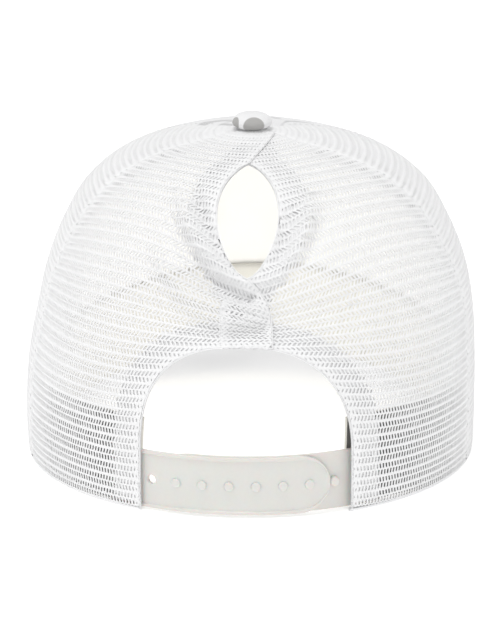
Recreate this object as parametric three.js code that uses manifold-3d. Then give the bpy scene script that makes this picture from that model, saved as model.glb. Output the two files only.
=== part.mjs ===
// A trucker cap: a padded front panel, four net panels, a curved peak, a sweatband and a snap strap.
// The two net panels at the back cross over each other below the button and above the strap, which
// leaves a hole for a ponytail over the usual arch. Millimetres: Z up, rim on Z = 0, peak to -Y.
import * as THREE from 'three';
import { mergeVertices } from 'three/addons/utils/BufferGeometryUtils.js';
import Module from 'manifold-3d';

const wasm = await Module();
wasm.setup();
const { clamp, degToRad, lerp, smoothstep } = THREE.MathUtils;

// Crown
const CROWN_HEIGHT = 126;
const CROWN_WIDTH = 176;
const CROWN_BACK = 98;
const CROWN_FRONT = 98;
const BUTTON_HOLE = 6;

// Cloth walls, and the gap that touching pieces keep
const FRONT_WALL = 2;
const NET_WALL = 1.2;
const TAPE_WALL = 1;
const SWEATBAND_WALL = 1.5;
const GAP = 0.3;
const SEAM_GAP = 0.5;

// Arch and ponytail hole, measured along the back of the crown from the rim up
const ARCH_WIDTH = 79.5;
const ARCH_HEIGHT = 66;
const BRIDGE_HEIGHT = 25;
const BRIDGE_LAP = 20;
const HOLE_LENGTH = 59;
const HOLE_WIDTH = 23.2;
const BUTTON_LAP = 23;

// Form of the edges, without a size: the arch is a squared-off ellipse, squarer on the wearer's
// left, the hole's side is a sine bent towards its foot, and the bridge's edge turns in at its top
const ARCH_POWER = { left: 2.5, right: 2.2 };
const HOLE_FORM = { bend: 0.93, fullness: 0.75 };
const BRIDGE_POWER = 4;

// Peak
const PEAK_WIDTH = 168;
const PEAK_LENGTH = 68;
const PEAK_WALL = 3.6;
const PEAK_RISE = 13;

// Form of the peak, without a size: its sides run straight for a share of the crown's reach, its
// outline is a little fuller than an ellipse, and it flattens by a share of its rise towards the front
const PEAK_STRAIGHT = 0.62;
const PEAK_POWER = 0.9;
const PEAK_FLATTENING = 0.3;

// Trim
const SWEATBAND_HEIGHT = 35;
const TAPE_WIDTH = 12;
const TAPE_TOP_REACH = 30;
const BUTTON_WIDTH = 15.5;
const BUTTON_HEIGHT = 6;
const POST_WIDTH = 3.4;

// The button's outline from its edge to its top, as shares of its radius and its height
const BUTTON_OUTLINE = [[0.94, 0], [1, 0.25], [0.88, 0.65], [0.55, 0.93], [0, 1]];

// Snap strap, in two halves that press together
const STRAP_BASE = 1.1;
const STRAP_HEIGHT = 22.5;
const STRAP_WALL = 1.5;
const STRAP_TUCK = 15;
const SNAP_PITCH = 10;
const SNAP_SHIFT = -3.9;
const SNAP_COUNT = 7;
const SNAP_WIDTH = 3.3;
const SNAP_HEAD = 1.2;
const STRAP_END = 8;

// Where the sweatband starts beside the arch, and where past the strap's tucked end it has begun and
// ended its way out to the net, in degrees
const BAND_START = 0.6;
const BAND_SETTLES = { from: 2.9, to: 17.2 };

// Faces along and up each wall, and round the turned pieces
const FACES = {
  frontPanel: [24, 14],
  sideNet: [6, 24],
  backNet: 13,
  seamTape: [2, 16],
  strap: [30, 3],
  sweatband: [48, 3],
  peak: [24, 6],
  snap: 12,
  button: 20,
};

// Level sections of the crown from the rim up. Height is a share of the crown height, side and lean
// are shares of the half width, back and front are shares of the reach that way, and the seams are
// degrees round from the centre back. Lean is how far the section sits towards the wearer's left.
const SECTIONS = [
  { height: 0.0, side: 0.995, lean: 0.006, back: 0.995, front: 0.995, sideSeam: 75.5, frontSeam: 118 },
  { height: 0.13, side: 1.003, lean: 0.007, back: 1.003, front: 1.003, sideSeam: 75, frontSeam: 118 },
  { height: 0.3, side: 0.996, lean: 0.0, back: 0.998, front: 0.997, sideSeam: 74.5, frontSeam: 118.5 },
  { height: 0.46, side: 0.969, lean: -0.015, back: 0.972, front: 0.975, sideSeam: 74, frontSeam: 119 },
  { height: 0.6, side: 0.927, lean: -0.02, back: 0.912, front: 0.94, sideSeam: 72.5, frontSeam: 120 },
  { height: 0.73, side: 0.853, lean: -0.019, back: 0.815, front: 0.885, sideSeam: 69.5, frontSeam: 121.5 },
  { height: 0.84, side: 0.756, lean: -0.017, back: 0.69, front: 0.8, sideSeam: 66.5, frontSeam: 123.5 },
  { height: 0.925, side: 0.588, lean: -0.005, back: 0.53, front: 0.65, sideSeam: 65, frontSeam: 125.5 },
  { height: 0.98, side: 0.308, lean: 0.012, back: 0.29, front: 0.38, sideSeam: 66, frontSeam: 127 },
  { height: 1.0, side: 0.0, lean: 0.0, back: 0.0, front: 0.0, sideSeam: 68, frontSeam: 128 },
];

// Folds that the crossing pulls into the back, each a curve seen from behind: its start, the point
// it bends to and its end as shares of the half width and the crown height. Push is out of the
// crown and spread is half the fold's width, both as shares of FOLD_SIZE.
const FOLD_SIZE = 4;
const FOLDS = [
  { from: [-0.3, 0.9], bend: [-0.225, 0.69], to: [-0.075, 0.665], push: 0.8, spread: 1.0 },
  { from: [-0.18, 0.91], bend: [-0.17, 0.72], to: [-0.08, 0.7], push: -0.8, spread: 1.0 },
  { from: [0.35, 0.825], bend: [0.3, 0.73], to: [0.045, 0.655], push: -0.65, spread: 0.9 },
  { from: [0.26, 0.67], bend: [0.155, 0.63], to: [-0.02, 0.635], push: 0.7, spread: 0.9 },
  { from: [0.24, 0.87], bend: [0.215, 0.77], to: [0.06, 0.705], push: 0.6, spread: 1.2 },
];

// Values shared by the pieces
const HALF_WIDTH = CROWN_WIDTH / 2;
const HOLE_BOTTOM = ARCH_HEIGHT + BRIDGE_HEIGHT;
const HOLE_TOP = HOLE_BOTTOM + HOLE_LENGTH;
const STRAP_TOP = STRAP_BASE + STRAP_HEIGHT;
const BAND_INSET = NET_WALL + GAP + TAPE_WALL + GAP;
const OUTER_STRAP_INSET = NET_WALL + GAP;
const INNER_STRAP_INSET = OUTER_STRAP_INSET + STRAP_WALL + GAP;

function catmullRom(values, t) {
  const [a, b, c, d] = values;
  const bend = (2 * a - 5 * b + 4 * c - d) * t * t + (3 * b - a - 3 * c + d) * t * t * t;
  return 0.5 * (2 * b + (c - a) * t + bend);
}

// A row of the section table, carried on below the rim and mirrored over the top
function sectionRow(index, key) {
  const last = SECTIONS.length - 1;
  if (index < 0) return 2 * SECTIONS[0][key] - SECTIONS[-index][key];
  if (index <= last) return SECTIONS[index][key];
  const mirrored = SECTIONS[2 * last - index][key];
  return ['side', 'back', 'front'].includes(key) ? -mirrored : mirrored;
}

// The crown's section at a level from 0 at the rim to 1 at the top
function section(level) {
  const last = SECTIONS.length - 1;
  const index = clamp(Math.floor(level * last), 0, last - 1);
  const share = (key) => {
    const near = [-1, 0, 1, 2].map((step) => sectionRow(index + step, key));
    return catmullRom(near, level * last - index);
  };
  return {
    z: share('height') * CROWN_HEIGHT,
    side: share('side') * HALF_WIDTH,
    lean: share('lean') * HALF_WIDTH,
    back: share('back') * CROWN_BACK,
    front: share('front') * CROWN_FRONT,
    sideSeam: degToRad(share('sideSeam')),
    frontSeam: degToRad(share('frontSeam')),
  };
}

// A point on the crown's outside. The angle runs from the centre back towards the wearer's left (+X).
function crownPoint(angle, level) {
  const { z, side, lean, back, front } = section(level);
  const reach = Math.cos(angle) >= 0 ? back : front;
  return new THREE.Vector3(lean + side * Math.sin(angle), reach * Math.cos(angle), z);
}

function crownNormal(angle, level) {
  const step = 0.002;
  const along = crownPoint(angle + step, level).sub(crownPoint(angle - step, level));
  const up = crownPoint(angle, level + step).sub(crownPoint(angle, level - step));
  return up.cross(along).normalize();
}

// A point a given distance outside the crown's surface, or inside it where that is negative
function skin(angle, level, offset) {
  return crownPoint(angle, level).addScaledVector(crownNormal(angle, level), offset);
}

// The level at which a rising measure of the section reaches a target
function findLevel(measure, target) {
  const halvings = 40;
  let low = 0;
  let high = 1;
  for (let i = 0; i < halvings; i += 1) {
    const middle = (low + high) / 2;
    if (measure(middle) < target) low = middle;
    else high = middle;
  }
  return (low + high) / 2;
}

const levelAtHeight = (height) => findLevel((level) => section(level).z, height);
const levelAtReach = (reach) => findLevel((level) => -section(level).side, -reach);
const TOP_LEVEL = levelAtReach(BUTTON_HOLE / 2);

// Length along the centre back from the rim up to each of many levels
const CLIMB_STEPS = 400;
const climbs = [0];
for (let i = 1; i <= CLIMB_STEPS; i += 1) {
  const step = crownPoint(0, i / CLIMB_STEPS).distanceTo(crownPoint(0, (i - 1) / CLIMB_STEPS));
  climbs.push(climbs[i - 1] + step);
}

function levelAtClimb(climb) {
  const index = clamp(climbs.findIndex((value) => value >= climb), 1, CLIMB_STEPS);
  const share = (climb - climbs[index - 1]) / (climbs[index] - climbs[index - 1]);
  return clamp((index - 1 + share) / CLIMB_STEPS, 0, 1);
}

function climbAtLevel(level) {
  const index = Math.min(Math.floor(level * CLIMB_STEPS), CLIMB_STEPS - 1);
  return lerp(climbs[index], climbs[index + 1], level * CLIMB_STEPS - index);
}

const TOP_CLIMB = climbAtLevel(TOP_LEVEL);

// The angle of a point on the back at a level that lies a distance across from the middle plane
function angleAcross(across, level) {
  const { side, lean } = section(level);
  return Math.asin(clamp((across - lean) / side, -1, 1));
}

// Half the seam gap as an angle
function seamGap(level) {
  return SEAM_GAP / 2 / section(level).side;
}

// The rim and the peak rise together across the front, from the peak's sides to its middle
function frontRise(x, y) {
  const share = (2 * x) / PEAK_WIDTH;
  return y < 0 ? Math.max(0, PEAK_RISE * (1 - share * share)) : 0;
}

function rimHeight(angle) {
  const foot = crownPoint(angle, 0);
  return frontRise(foot.x, foot.y);
}

// A closed wall between an outer and an inner face, each a function of two shares from 0 to 1
function wall(columns, rows, outer, inner) {
  const points = [];
  for (const face of [outer, inner]) {
    for (let i = 0; i <= columns; i += 1) {
      for (let j = 0; j <= rows; j += 1) {
        points.push(...face(i / columns, j / rows).toArray());
      }
    }
  }
  const corner = (side, i, j) => (side * (columns + 1) + i) * (rows + 1) + j;
  const faces = [];
  const quad = (a, b, c, d) => faces.push(a, b, c, a, c, d);
  for (let i = 0; i < columns; i += 1) {
    for (let j = 0; j < rows; j += 1) {
      quad(corner(0, i, j), corner(0, i + 1, j), corner(0, i + 1, j + 1), corner(0, i, j + 1));
      quad(corner(1, i, j), corner(1, i, j + 1), corner(1, i + 1, j + 1), corner(1, i + 1, j));
    }
    quad(corner(0, i, 0), corner(1, i, 0), corner(1, i + 1, 0), corner(0, i + 1, 0));
    quad(corner(0, i, rows), corner(0, i + 1, rows), corner(1, i + 1, rows), corner(1, i, rows));
  }
  for (let j = 0; j < rows; j += 1) {
    quad(corner(0, 0, j), corner(0, 0, j + 1), corner(1, 0, j + 1), corner(1, 0, j));
    const [top, under] = [corner(0, columns, j), corner(1, columns, j)];
    quad(top, under, under + 1, top + 1);
  }
  return outward(points, faces);
}

// Six times the volume inside the faces, negative where they point in
function signedVolume(points, faces) {
  const at = (index) => new THREE.Vector3().fromArray(points, index * 3);
  let sum = 0;
  for (let i = 0; i < faces.length; i += 3) {
    sum += at(faces[i]).dot(at(faces[i + 1]).cross(at(faces[i + 2])));
  }
  return sum;
}

function outward(points, faces) {
  const geometry = new THREE.BufferGeometry();
  geometry.setAttribute('position', new THREE.Float32BufferAttribute(points, 3));
  geometry.setIndex(signedVolume(points, faces) < 0 ? faces.reverse() : faces);
  geometry.computeVertexNormals();
  return geometry;
}

// A cloth wall on the crown between two angles and from the rim to a top level. The inner face's
// foot is level with the outer one's, so that the rim is flat.
function crownWall([columns, rows], thickness, angleAt, levelAt, offsetAt) {
  const face = (depth) => (u, v) => {
    const angle = angleAt(u, v);
    const level = levelAt(u, v, angle);
    const point = skin(angle, level, offsetAt(angle, level) - depth);
    if (v === 0) point.z = section(level).z;
    return point;
  };
  return wall(columns, rows, face(0), face(thickness));
}

function solid(geometry) {
  geometry.deleteAttribute('normal');
  geometry.deleteAttribute('uv');
  const merged = mergeVertices(geometry);
  return new wasm.Manifold(new wasm.Mesh({
    numProp: 3,
    vertProperties: new Float32Array(merged.attributes.position.array),
    triVerts: new Uint32Array(merged.index.array),
  }));
}

function fromSolid(body) {
  const mesh = body.getMesh();
  return outward(Array.from(mesh.vertProperties), Array.from(mesh.triVerts));
}

// Front panel: one padded cloth piece from seam to seam round the front
function frontPanel() {
  const lowest = (angle) => levelAtHeight(rimHeight(angle));
  const angleAt = (u, v) => {
    const edge = section(v * TOP_LEVEL).frontSeam + seamGap(v * TOP_LEVEL);
    return lerp(edge, 2 * Math.PI - edge, u);
  };
  const levelAt = (u, v, angle) => lerp(lowest(angle), TOP_LEVEL, v);
  return crownWall(FACES.frontPanel, FRONT_WALL, angleAt, levelAt, () => 0);
}

// Side net panel between the side seam and the front seam
function sideNet(side) {
  const angleAt = (u, v) => {
    const level = v * TOP_LEVEL;
    const back = section(level).sideSeam + seamGap(level);
    const front = section(level).frontSeam - seamGap(level);
    return side * lerp(back, front, u);
  };
  const levelAt = (u, v, angle) => lerp(levelAtHeight(rimHeight(angle)), TOP_LEVEL, v);
  return crownWall(FACES.sideNet, NET_WALL, angleAt, levelAt, () => 0);
}

// The free edge of the upper back panel, from the rim to the button: how far it lies to the
// panel's own side of the middle, and how far it has climbed. Each stretch takes shares from 0 to 1.
function archEdge(side, share) {
  const power = side > 0 ? ARCH_POWER.left : ARCH_POWER.right;
  const turn = share * (Math.PI / 2 + Math.asin((BRIDGE_LAP / ARCH_WIDTH) ** (power / 2)));
  const across = Math.sign(Math.cos(turn)) * Math.abs(Math.cos(turn)) ** (2 / power);
  const rise = Math.sin(turn) ** (2 / power);
  return { across: (ARCH_WIDTH / 2) * across, climb: lerp(STRAP_TOP, ARCH_HEIGHT, rise) };
}

function bridgeEdge(side, share) {
  const climb = lerp(archEdge(side, 1).climb, HOLE_BOTTOM, share);
  return { across: (-BRIDGE_LAP / 2) * (1 - share ** BRIDGE_POWER), climb };
}

function holeEdge(side, share) {
  const bulge = Math.sin(Math.PI * share ** HOLE_FORM.bend) ** HOLE_FORM.fullness;
  return { across: (HOLE_WIDTH / 2) * bulge, climb: HOLE_BOTTOM + HOLE_LENGTH * share };
}

const EDGE_STRETCHES = [
  { rows: 3, at: (side, share) => ({ across: ARCH_WIDTH / 2, climb: STRAP_TOP * share }) },
  { rows: 9, at: archEdge },
  { rows: 5, at: bridgeEdge },
  { rows: 13, at: holeEdge },
  {
    rows: 6,
    at: (side, share) => ({
      across: (-BUTTON_LAP / 2) * share,
      climb: lerp(HOLE_TOP, TOP_CLIMB, share),
    }),
  },
];

// Rows of a back panel: each runs from the side seam to a point on the free edge, and droops
// towards the crossing by a share of how far the edge has gone across on its way up
const ROW_DROOP = 0.6;

function backRows(side) {
  const edge = [EDGE_STRETCHES[0].at(side, 0)];
  for (const stretch of EDGE_STRETCHES) {
    for (let i = 1; i <= stretch.rows; i += 1) edge.push(stretch.at(side, i / stretch.rows));
  }
  let gone = 0;
  return edge.map(({ across, climb }, i) => {
    gone += i > 0 ? Math.abs(across - edge[i - 1].across) : 0;
    const fade = clamp((TOP_CLIMB - climb) / (TOP_CLIMB - HOLE_BOTTOM), 0, 1);
    const level = Math.min(levelAtClimb(climb), TOP_LEVEL);
    const seamLevel = Math.min(levelAtClimb(climb + gone * ROW_DROOP * fade), TOP_LEVEL);
    const limit = section(level).sideSeam - seamGap(level);
    return {
      level,
      angle: Math.max(side * angleAcross(side * across, level), -limit),
      seamLevel,
      seamAngle: section(seamLevel).sideSeam - seamGap(seamLevel),
    };
  });
}

// How far the folds push the back out at a point
const FOLD_LINE_STEPS = 10;
const foldLines = FOLDS.map(({ from, bend, to }) => {
  const places = [from, bend, to].map(
    ([side, height]) => new THREE.Vector2(side * HALF_WIDTH, height * CROWN_HEIGHT),
  );
  return new THREE.QuadraticBezierCurve(...places).getPoints(FOLD_LINE_STEPS);
});

function foldPush(point) {
  const seen = new THREE.Vector2(point.x, point.z);
  return FOLDS.reduce((sum, fold, index) => {
    const distances = foldLines[index].map((place) => place.distanceTo(seen));
    const nearest = Math.min(...distances);
    const away = nearest / (fold.spread * FOLD_SIZE);
    const grown = smoothstep(distances.indexOf(nearest), 0, FOLD_LINE_STEPS / 2);
    return sum + fold.push * FOLD_SIZE * grown * Math.exp(-away * away);
  }, 0);
}

// Where the back panels cross, the left one is lifted and the right one sinks under it. Each moves
// a bit more than half a wall, and its share fades out on its own side of the crossing.
const LIFT_SHARE = 0.76;
const FADE_SHARES = { start: 1.05, length: 0.8 };
const LIFT = (NET_WALL + GAP) * LIFT_SHARE;
const LAP_FADE = Math.max(BRIDGE_LAP, BUTTON_LAP) * FADE_SHARES.start;
const FADE_LENGTH = LAP_FADE * FADE_SHARES.length;

function lapLift(side, x) {
  return side * LIFT * smoothstep(LAP_FADE - side * x, 0, FADE_LENGTH);
}

// Back net panel: the left one (side 1) lies over the right one (side -1). Its columns stand closer
// together towards the free edge.
const COLUMN_POWER = 1.25;

function backNet(side) {
  const rows = backRows(side);
  const last = rows.length - 1;
  const spaced = (u) => 1 - (1 - u) ** COLUMN_POWER;
  const angleAt = (u, v) => {
    const row = rows[Math.round(v * last)];
    return side * lerp(row.seamAngle, row.angle, spaced(u));
  };
  const levelAt = (u, v) => {
    const row = rows[Math.round(v * last)];
    return lerp(row.seamLevel, row.level, spaced(u));
  };
  const offsetAt = (angle, level) => {
    const point = crownPoint(angle, level);
    return foldPush(point) + lapLift(side, point.x);
  };
  return crownWall([FACES.backNet, last], NET_WALL, angleAt, levelAt, offsetAt);
}

// Tape that covers the side seam inside the crown
function seamTape(side) {
  const low = levelAtHeight(STRAP_BASE);
  const high = levelAtReach(TAPE_TOP_REACH);
  const angleAt = (u, v) => {
    const level = lerp(low, high, v);
    const half = TAPE_WIDTH / 2 / section(level).side;
    return side * (section(level).sideSeam + lerp(-half, half, u));
  };
  const levelAt = (u, v) => lerp(low, high, v);
  return crownWall(FACES.seamTape, TAPE_WALL, angleAt, levelAt, () => -NET_WALL - GAP);
}

// Angle round the back at a length from the middle along the face where the strap halves meet,
// positive to the left
const STRAP_LEVEL = levelAtHeight(STRAP_BASE + STRAP_HEIGHT / 2);

function strapAngle(length) {
  const meeting = (angle) => skin(angle, STRAP_LEVEL, -OUTER_STRAP_INSET - STRAP_WALL);
  const steps = 60;
  const nudge = 0.001;
  let angle = angleAcross(0, STRAP_LEVEL);
  for (let i = 0; i < steps; i += 1) {
    const pace = meeting(angle + nudge).distanceTo(meeting(angle)) / nudge;
    angle += length / steps / pace;
  }
  return angle;
}

// The back panels' edges by the strap, and how far round the straps are tucked in behind them
const EDGE_ANGLE = angleAcross(ARCH_WIDTH / 2, levelAtHeight(STRAP_TOP));
const TUCK_ANGLE = strapAngle(ARCH_WIDTH / 2 + STRAP_TUCK);
const FIRST_SNAP = SNAP_SHIFT - ((SNAP_COUNT - 1) / 2) * SNAP_PITCH;
const SNAPS = Array.from({ length: SNAP_COUNT }, (_, i) => FIRST_SNAP + i * SNAP_PITCH);
const [, ...COVERED_SNAPS] = SNAPS;

// A strap half: a band from its tucked end to its rounded one, inset from the crown's outside. Its
// columns stand closer together towards the rounded end, whose tip is cut off at a share of its radius.
const STRAP_COLUMN_POWER = 1.6;
const STRAP_TIP = 0.15;

function strapBand(tuckAngle, endLength, inset) {
  const radius = STRAP_HEIGHT / 2;
  const endAngle = strapAngle(endLength);
  const step = endLength / 100;
  const pace = (endAngle - strapAngle(endLength - step)) / step;
  const length = Math.abs((endAngle - tuckAngle) / pace);
  const spaced = (u) => 1 - (1 - u) ** STRAP_COLUMN_POWER;
  const face = (depth) => (u, v) => {
    const angle = lerp(tuckAngle, endAngle, spaced(u));
    const left = Math.min(length * (1 - spaced(u)), radius);
    const half = Math.max(Math.sqrt(radius ** 2 - (radius - left) ** 2), radius * STRAP_TIP);
    const height = STRAP_BASE + radius + lerp(-half, half, v);
    return skin(angle, levelAtHeight(height), -inset - depth);
  };
  return wall(...FACES.strap, face(0), face(STRAP_WALL));
}

// A round bar through the strap at one snap, from an inset on the crown's outside inwards
function snapBar(place, width, outerInset, innerInset) {
  const angle = strapAngle(place);
  const length = innerInset - outerInset;
  const bar = new THREE.CylinderGeometry(width / 2, width / 2, length, FACES.snap);
  const out = crownNormal(angle, STRAP_LEVEL);
  bar.applyQuaternion(new THREE.Quaternion().setFromUnitVectors(new THREE.Vector3(0, 1, 0), out));
  const middle = skin(angle, STRAP_LEVEL, -(outerInset + innerInset) / 2);
  bar.translate(...middle.toArray());
  return solid(bar);
}

// Outer strap half, from the left, with the row of holes. It covers every snap but the first, and
// one more hole stays open by its root.
function outerStrap() {
  const end = COVERED_SNAPS[0] - STRAP_END;
  let body = solid(strapBand(TUCK_ANGLE, end, OUTER_STRAP_INSET));
  const holes = [...COVERED_SNAPS, SNAPS[SNAP_COUNT - 1] + SNAP_PITCH];
  for (const place of holes) {
    body = body.subtract(snapBar(place, SNAP_WIDTH + 2 * GAP, 0, INNER_STRAP_INSET));
  }
  return fromSolid(body);
}

// Inner strap half, from the right, with the row of pegs that stand through the holes
function innerStrap() {
  const end = SNAPS[SNAP_COUNT - 1] + STRAP_END;
  let body = solid(strapBand(-TUCK_ANGLE, end, INNER_STRAP_INSET));
  const head = OUTER_STRAP_INSET - SNAP_HEAD;
  for (const place of SNAPS) {
    body = body.add(snapBar(place, SNAP_WIDTH, head, INNER_STRAP_INSET + STRAP_WALL / 2));
  }
  return fromSolid(body);
}

// Sweatband: a cloth band inside the rim, open behind the strap, which it holds against the net
function sweatband() {
  const start = EDGE_ANGLE + degToRad(BAND_START);
  const angleAt = (u) => lerp(start, 2 * Math.PI - start, u);
  const bottom = (angle) => rimHeight(angle) + GAP * 2;
  const insetAt = (angle) => {
    const round = angle > Math.PI ? 2 * Math.PI - angle : angle;
    const stack = angle > Math.PI ? INNER_STRAP_INSET : OUTER_STRAP_INSET;
    const behindStrap = stack + STRAP_WALL + GAP;
    const from = TUCK_ANGLE + degToRad(BAND_SETTLES.from);
    const to = TUCK_ANGLE + degToRad(BAND_SETTLES.to);
    return lerp(behindStrap, BAND_INSET, smoothstep(round, from, to));
  };
  const levelAt = (u, v, angle) => levelAtHeight(bottom(angle) + SWEATBAND_HEIGHT * v);
  return crownWall(FACES.sweatband, SWEATBAND_WALL, angleAt, levelAt, (angle) => -insetAt(angle));
}

// Peak: a stiff curved board round the front of the rim, resting on its two side edges
function peak() {
  const reach = Math.PI - section(0).frontSeam;
  const sideY = -CROWN_FRONT * PEAK_STRAIGHT;
  const tipReach = CROWN_FRONT + sideY + PEAK_LENGTH;
  const face = (lift) => (u, v) => {
    const turn = lerp(-1, 1, u);
    const angle = Math.PI - turn * reach;
    const seat = skin(angle, levelAtHeight(rimHeight(angle) + PEAK_WALL), GAP);
    const sweep = (turn * Math.PI) / 2;
    const outX = (PEAK_WIDTH / 2) * Math.sign(turn) * Math.abs(Math.sin(sweep)) ** PEAK_POWER;
    const outY = sideY - tipReach * Math.cos(sweep) ** PEAK_POWER;
    const x = lerp(seat.x, outX, v);
    const y = lerp(seat.y, outY, v);
    const dip = 1 - PEAK_FLATTENING * v * v;
    return new THREE.Vector3(x, y, frontRise(x, y) * dip + lift);
  };
  return wall(...FACES.peak, face(PEAK_WALL), face(0));
}

// Button: a cloth-covered cap on a post through the hole where the panels meet
function button() {
  const radius = BUTTON_WIDTH / 2;
  const seat = CROWN_HEIGHT + LIFT + GAP;
  const foot = CROWN_HEIGHT - 2 * NET_WALL - 2 * LIFT;
  const post = [[0, foot], [POST_WIDTH / 2, foot], [POST_WIDTH / 2, seat]];
  const head = BUTTON_OUTLINE.map(([out, up]) => [radius * out, seat + BUTTON_HEIGHT * up]);
  const profile = [...post, ...head].map(([out, up]) => new THREE.Vector2(out, up));
  const turned = new THREE.LatheGeometry(profile, FACES.button);
  turned.rotateX(Math.PI / 2);
  return fromSolid(solid(turned));
}

function material(color, roughness) {
  return new THREE.MeshStandardMaterial({ color, roughness, metalness: 0 });
}

const netCloth = material('#e9e9e7', 0.85);
const frontCloth = material('#dededf', 0.9);
const bandCloth = material('#b9b6ac', 0.9);
const tapeCloth = material('#efefef', 0.9);
const plastic = material('#e4e3dd', 0.35);

const cap = new THREE.Group();
const pieces = [
  ['front_panel', frontPanel(), frontCloth],
  ['side_net_left', sideNet(1), netCloth],
  ['side_net_right', sideNet(-1), netCloth],
  ['back_net_left', backNet(1), netCloth],
  ['back_net_right', backNet(-1), netCloth],
  ['seam_tape_left', seamTape(1), tapeCloth],
  ['seam_tape_right', seamTape(-1), tapeCloth],
  ['sweatband', sweatband(), bandCloth],
  ['strap_outer', outerStrap(), plastic],
  ['strap_inner', innerStrap(), plastic],
  ['peak', peak(), frontCloth],
  ['button', button(), frontCloth],
];
for (const [name, geometry, look] of pieces) {
  const piece = new THREE.Mesh(geometry, look);
  piece.name = name;
  cap.add(piece);
}

// The origin is the middle of the box's bottom
const box = new THREE.Box3().setFromObject(cap);
const centre = box.getCenter(new THREE.Vector3());
cap.position.set(-centre.x, -centre.y, -box.min.z);

export default cap;
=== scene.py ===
"""A white trucker cap, seen from behind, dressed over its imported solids. Metres, rim on Z = 0."""
import math

import bmesh
import bpy
import numpy as np
from mathutils import Matrix, Vector


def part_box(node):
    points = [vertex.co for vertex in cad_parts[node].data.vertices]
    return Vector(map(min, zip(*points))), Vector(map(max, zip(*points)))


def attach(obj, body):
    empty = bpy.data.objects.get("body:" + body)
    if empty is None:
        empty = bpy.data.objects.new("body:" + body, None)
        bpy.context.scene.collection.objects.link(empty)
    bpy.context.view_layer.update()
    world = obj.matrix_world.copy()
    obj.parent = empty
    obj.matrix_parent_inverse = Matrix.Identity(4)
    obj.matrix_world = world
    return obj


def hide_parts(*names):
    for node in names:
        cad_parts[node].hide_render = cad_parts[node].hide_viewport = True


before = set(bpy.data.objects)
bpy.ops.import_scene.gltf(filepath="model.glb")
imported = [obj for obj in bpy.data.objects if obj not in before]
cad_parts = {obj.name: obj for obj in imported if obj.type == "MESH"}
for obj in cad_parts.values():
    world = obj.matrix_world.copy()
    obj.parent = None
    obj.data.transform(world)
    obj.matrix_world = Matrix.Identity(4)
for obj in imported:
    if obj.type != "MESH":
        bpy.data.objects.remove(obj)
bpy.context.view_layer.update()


# Camera: level with a person who bends a little over a table, straight behind the cap and a
# hair to its right. The lens is long, so the crown keeps its width from front to back.
CAMERA_TARGET = Vector((0.00025, 0.03406, 0.053))
CAMERA_DISTANCE = 1.5
CAMERA_RISE = math.radians(15.5)
CAMERA_TURN = math.radians(1.5)
CAMERA_LENS = 219.9

camera = bpy.data.objects.new("camera", bpy.data.cameras.new("camera"))
bpy.context.scene.collection.objects.link(camera)
bpy.context.scene.camera = camera
camera.data.lens = CAMERA_LENS
camera.data.sensor_width = 36
camera.data.clip_start = 0.05
camera.data.clip_end = 20
towards_camera = Vector((
    -math.sin(CAMERA_TURN) * math.cos(CAMERA_RISE),
    math.cos(CAMERA_TURN) * math.cos(CAMERA_RISE),
    math.sin(CAMERA_RISE),
))
camera.location = CAMERA_TARGET + CAMERA_DISTANCE * towards_camera
camera.rotation_euler = (-towards_camera).to_track_quat("-Z", "Y").to_euler()


# Studio: a pale light table that runs out of sight and glows a little, a bright even sky, a soft
# lamp behind the camera, one high on its left, and a small one that lies in the cap's hollow.
floor_mesh = bmesh.new()
bmesh.ops.create_grid(floor_mesh, x_segments=1, y_segments=1, size=6)
floor_data = bpy.data.meshes.new("floor")
floor_mesh.to_mesh(floor_data)
floor_mesh.free()
floor = bpy.data.objects.new("floor", floor_data)
bpy.context.scene.collection.objects.link(floor)
floor_paint = bpy.data.materials.new("floor_paint")
floor_paint.use_nodes = True
floor_shader = floor_paint.node_tree.nodes["Principled BSDF"]
floor_shader.inputs["Base Color"].default_value = (0.86, 0.86, 0.86, 1)
floor_shader.inputs["Roughness"].default_value = 0.95
floor_shader.inputs["Specular IOR Level"].default_value = 0.1
floor_shader.inputs["Emission Color"].default_value = (1, 1, 1, 1)
floor_shader.inputs["Emission Strength"].default_value = 0.36
floor_data.materials.append(floor_paint)

sky = bpy.data.worlds.new("sky")
sky.use_nodes = True
sky.node_tree.nodes["Background"].inputs["Color"].default_value = (1, 1, 1, 1)
sky.node_tree.nodes["Background"].inputs["Strength"].default_value = 0.8
bpy.context.scene.world = sky
bpy.context.scene.view_settings.view_transform = "Standard"


def soft_lamp(name, place, size, power, aim=CAMERA_TARGET):
    """A round lamp that is turned to a place."""
    lamp = bpy.data.objects.new(name, bpy.data.lights.new(name, "AREA"))
    lamp.data.shape = "DISK"
    lamp.data.size = size
    lamp.data.energy = power
    lamp.location = place
    lamp.rotation_euler = (aim - lamp.location).to_track_quat("-Z", "Y").to_euler()
    bpy.context.scene.collection.objects.link(lamp)


soft_lamp("lamp_behind_camera", Vector((-0.05, 1.96, 0.6)), 0.35, 1.9)
soft_lamp("lamp_high_left", Vector((0.22, 0.42, 1.72)), 0.6, 10)
soft_lamp("lamp_in_hollow", Vector((0, 0.034, 0.001)), 0.12, 0.069, aim=Vector((0, 0.02, 1)))


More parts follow.
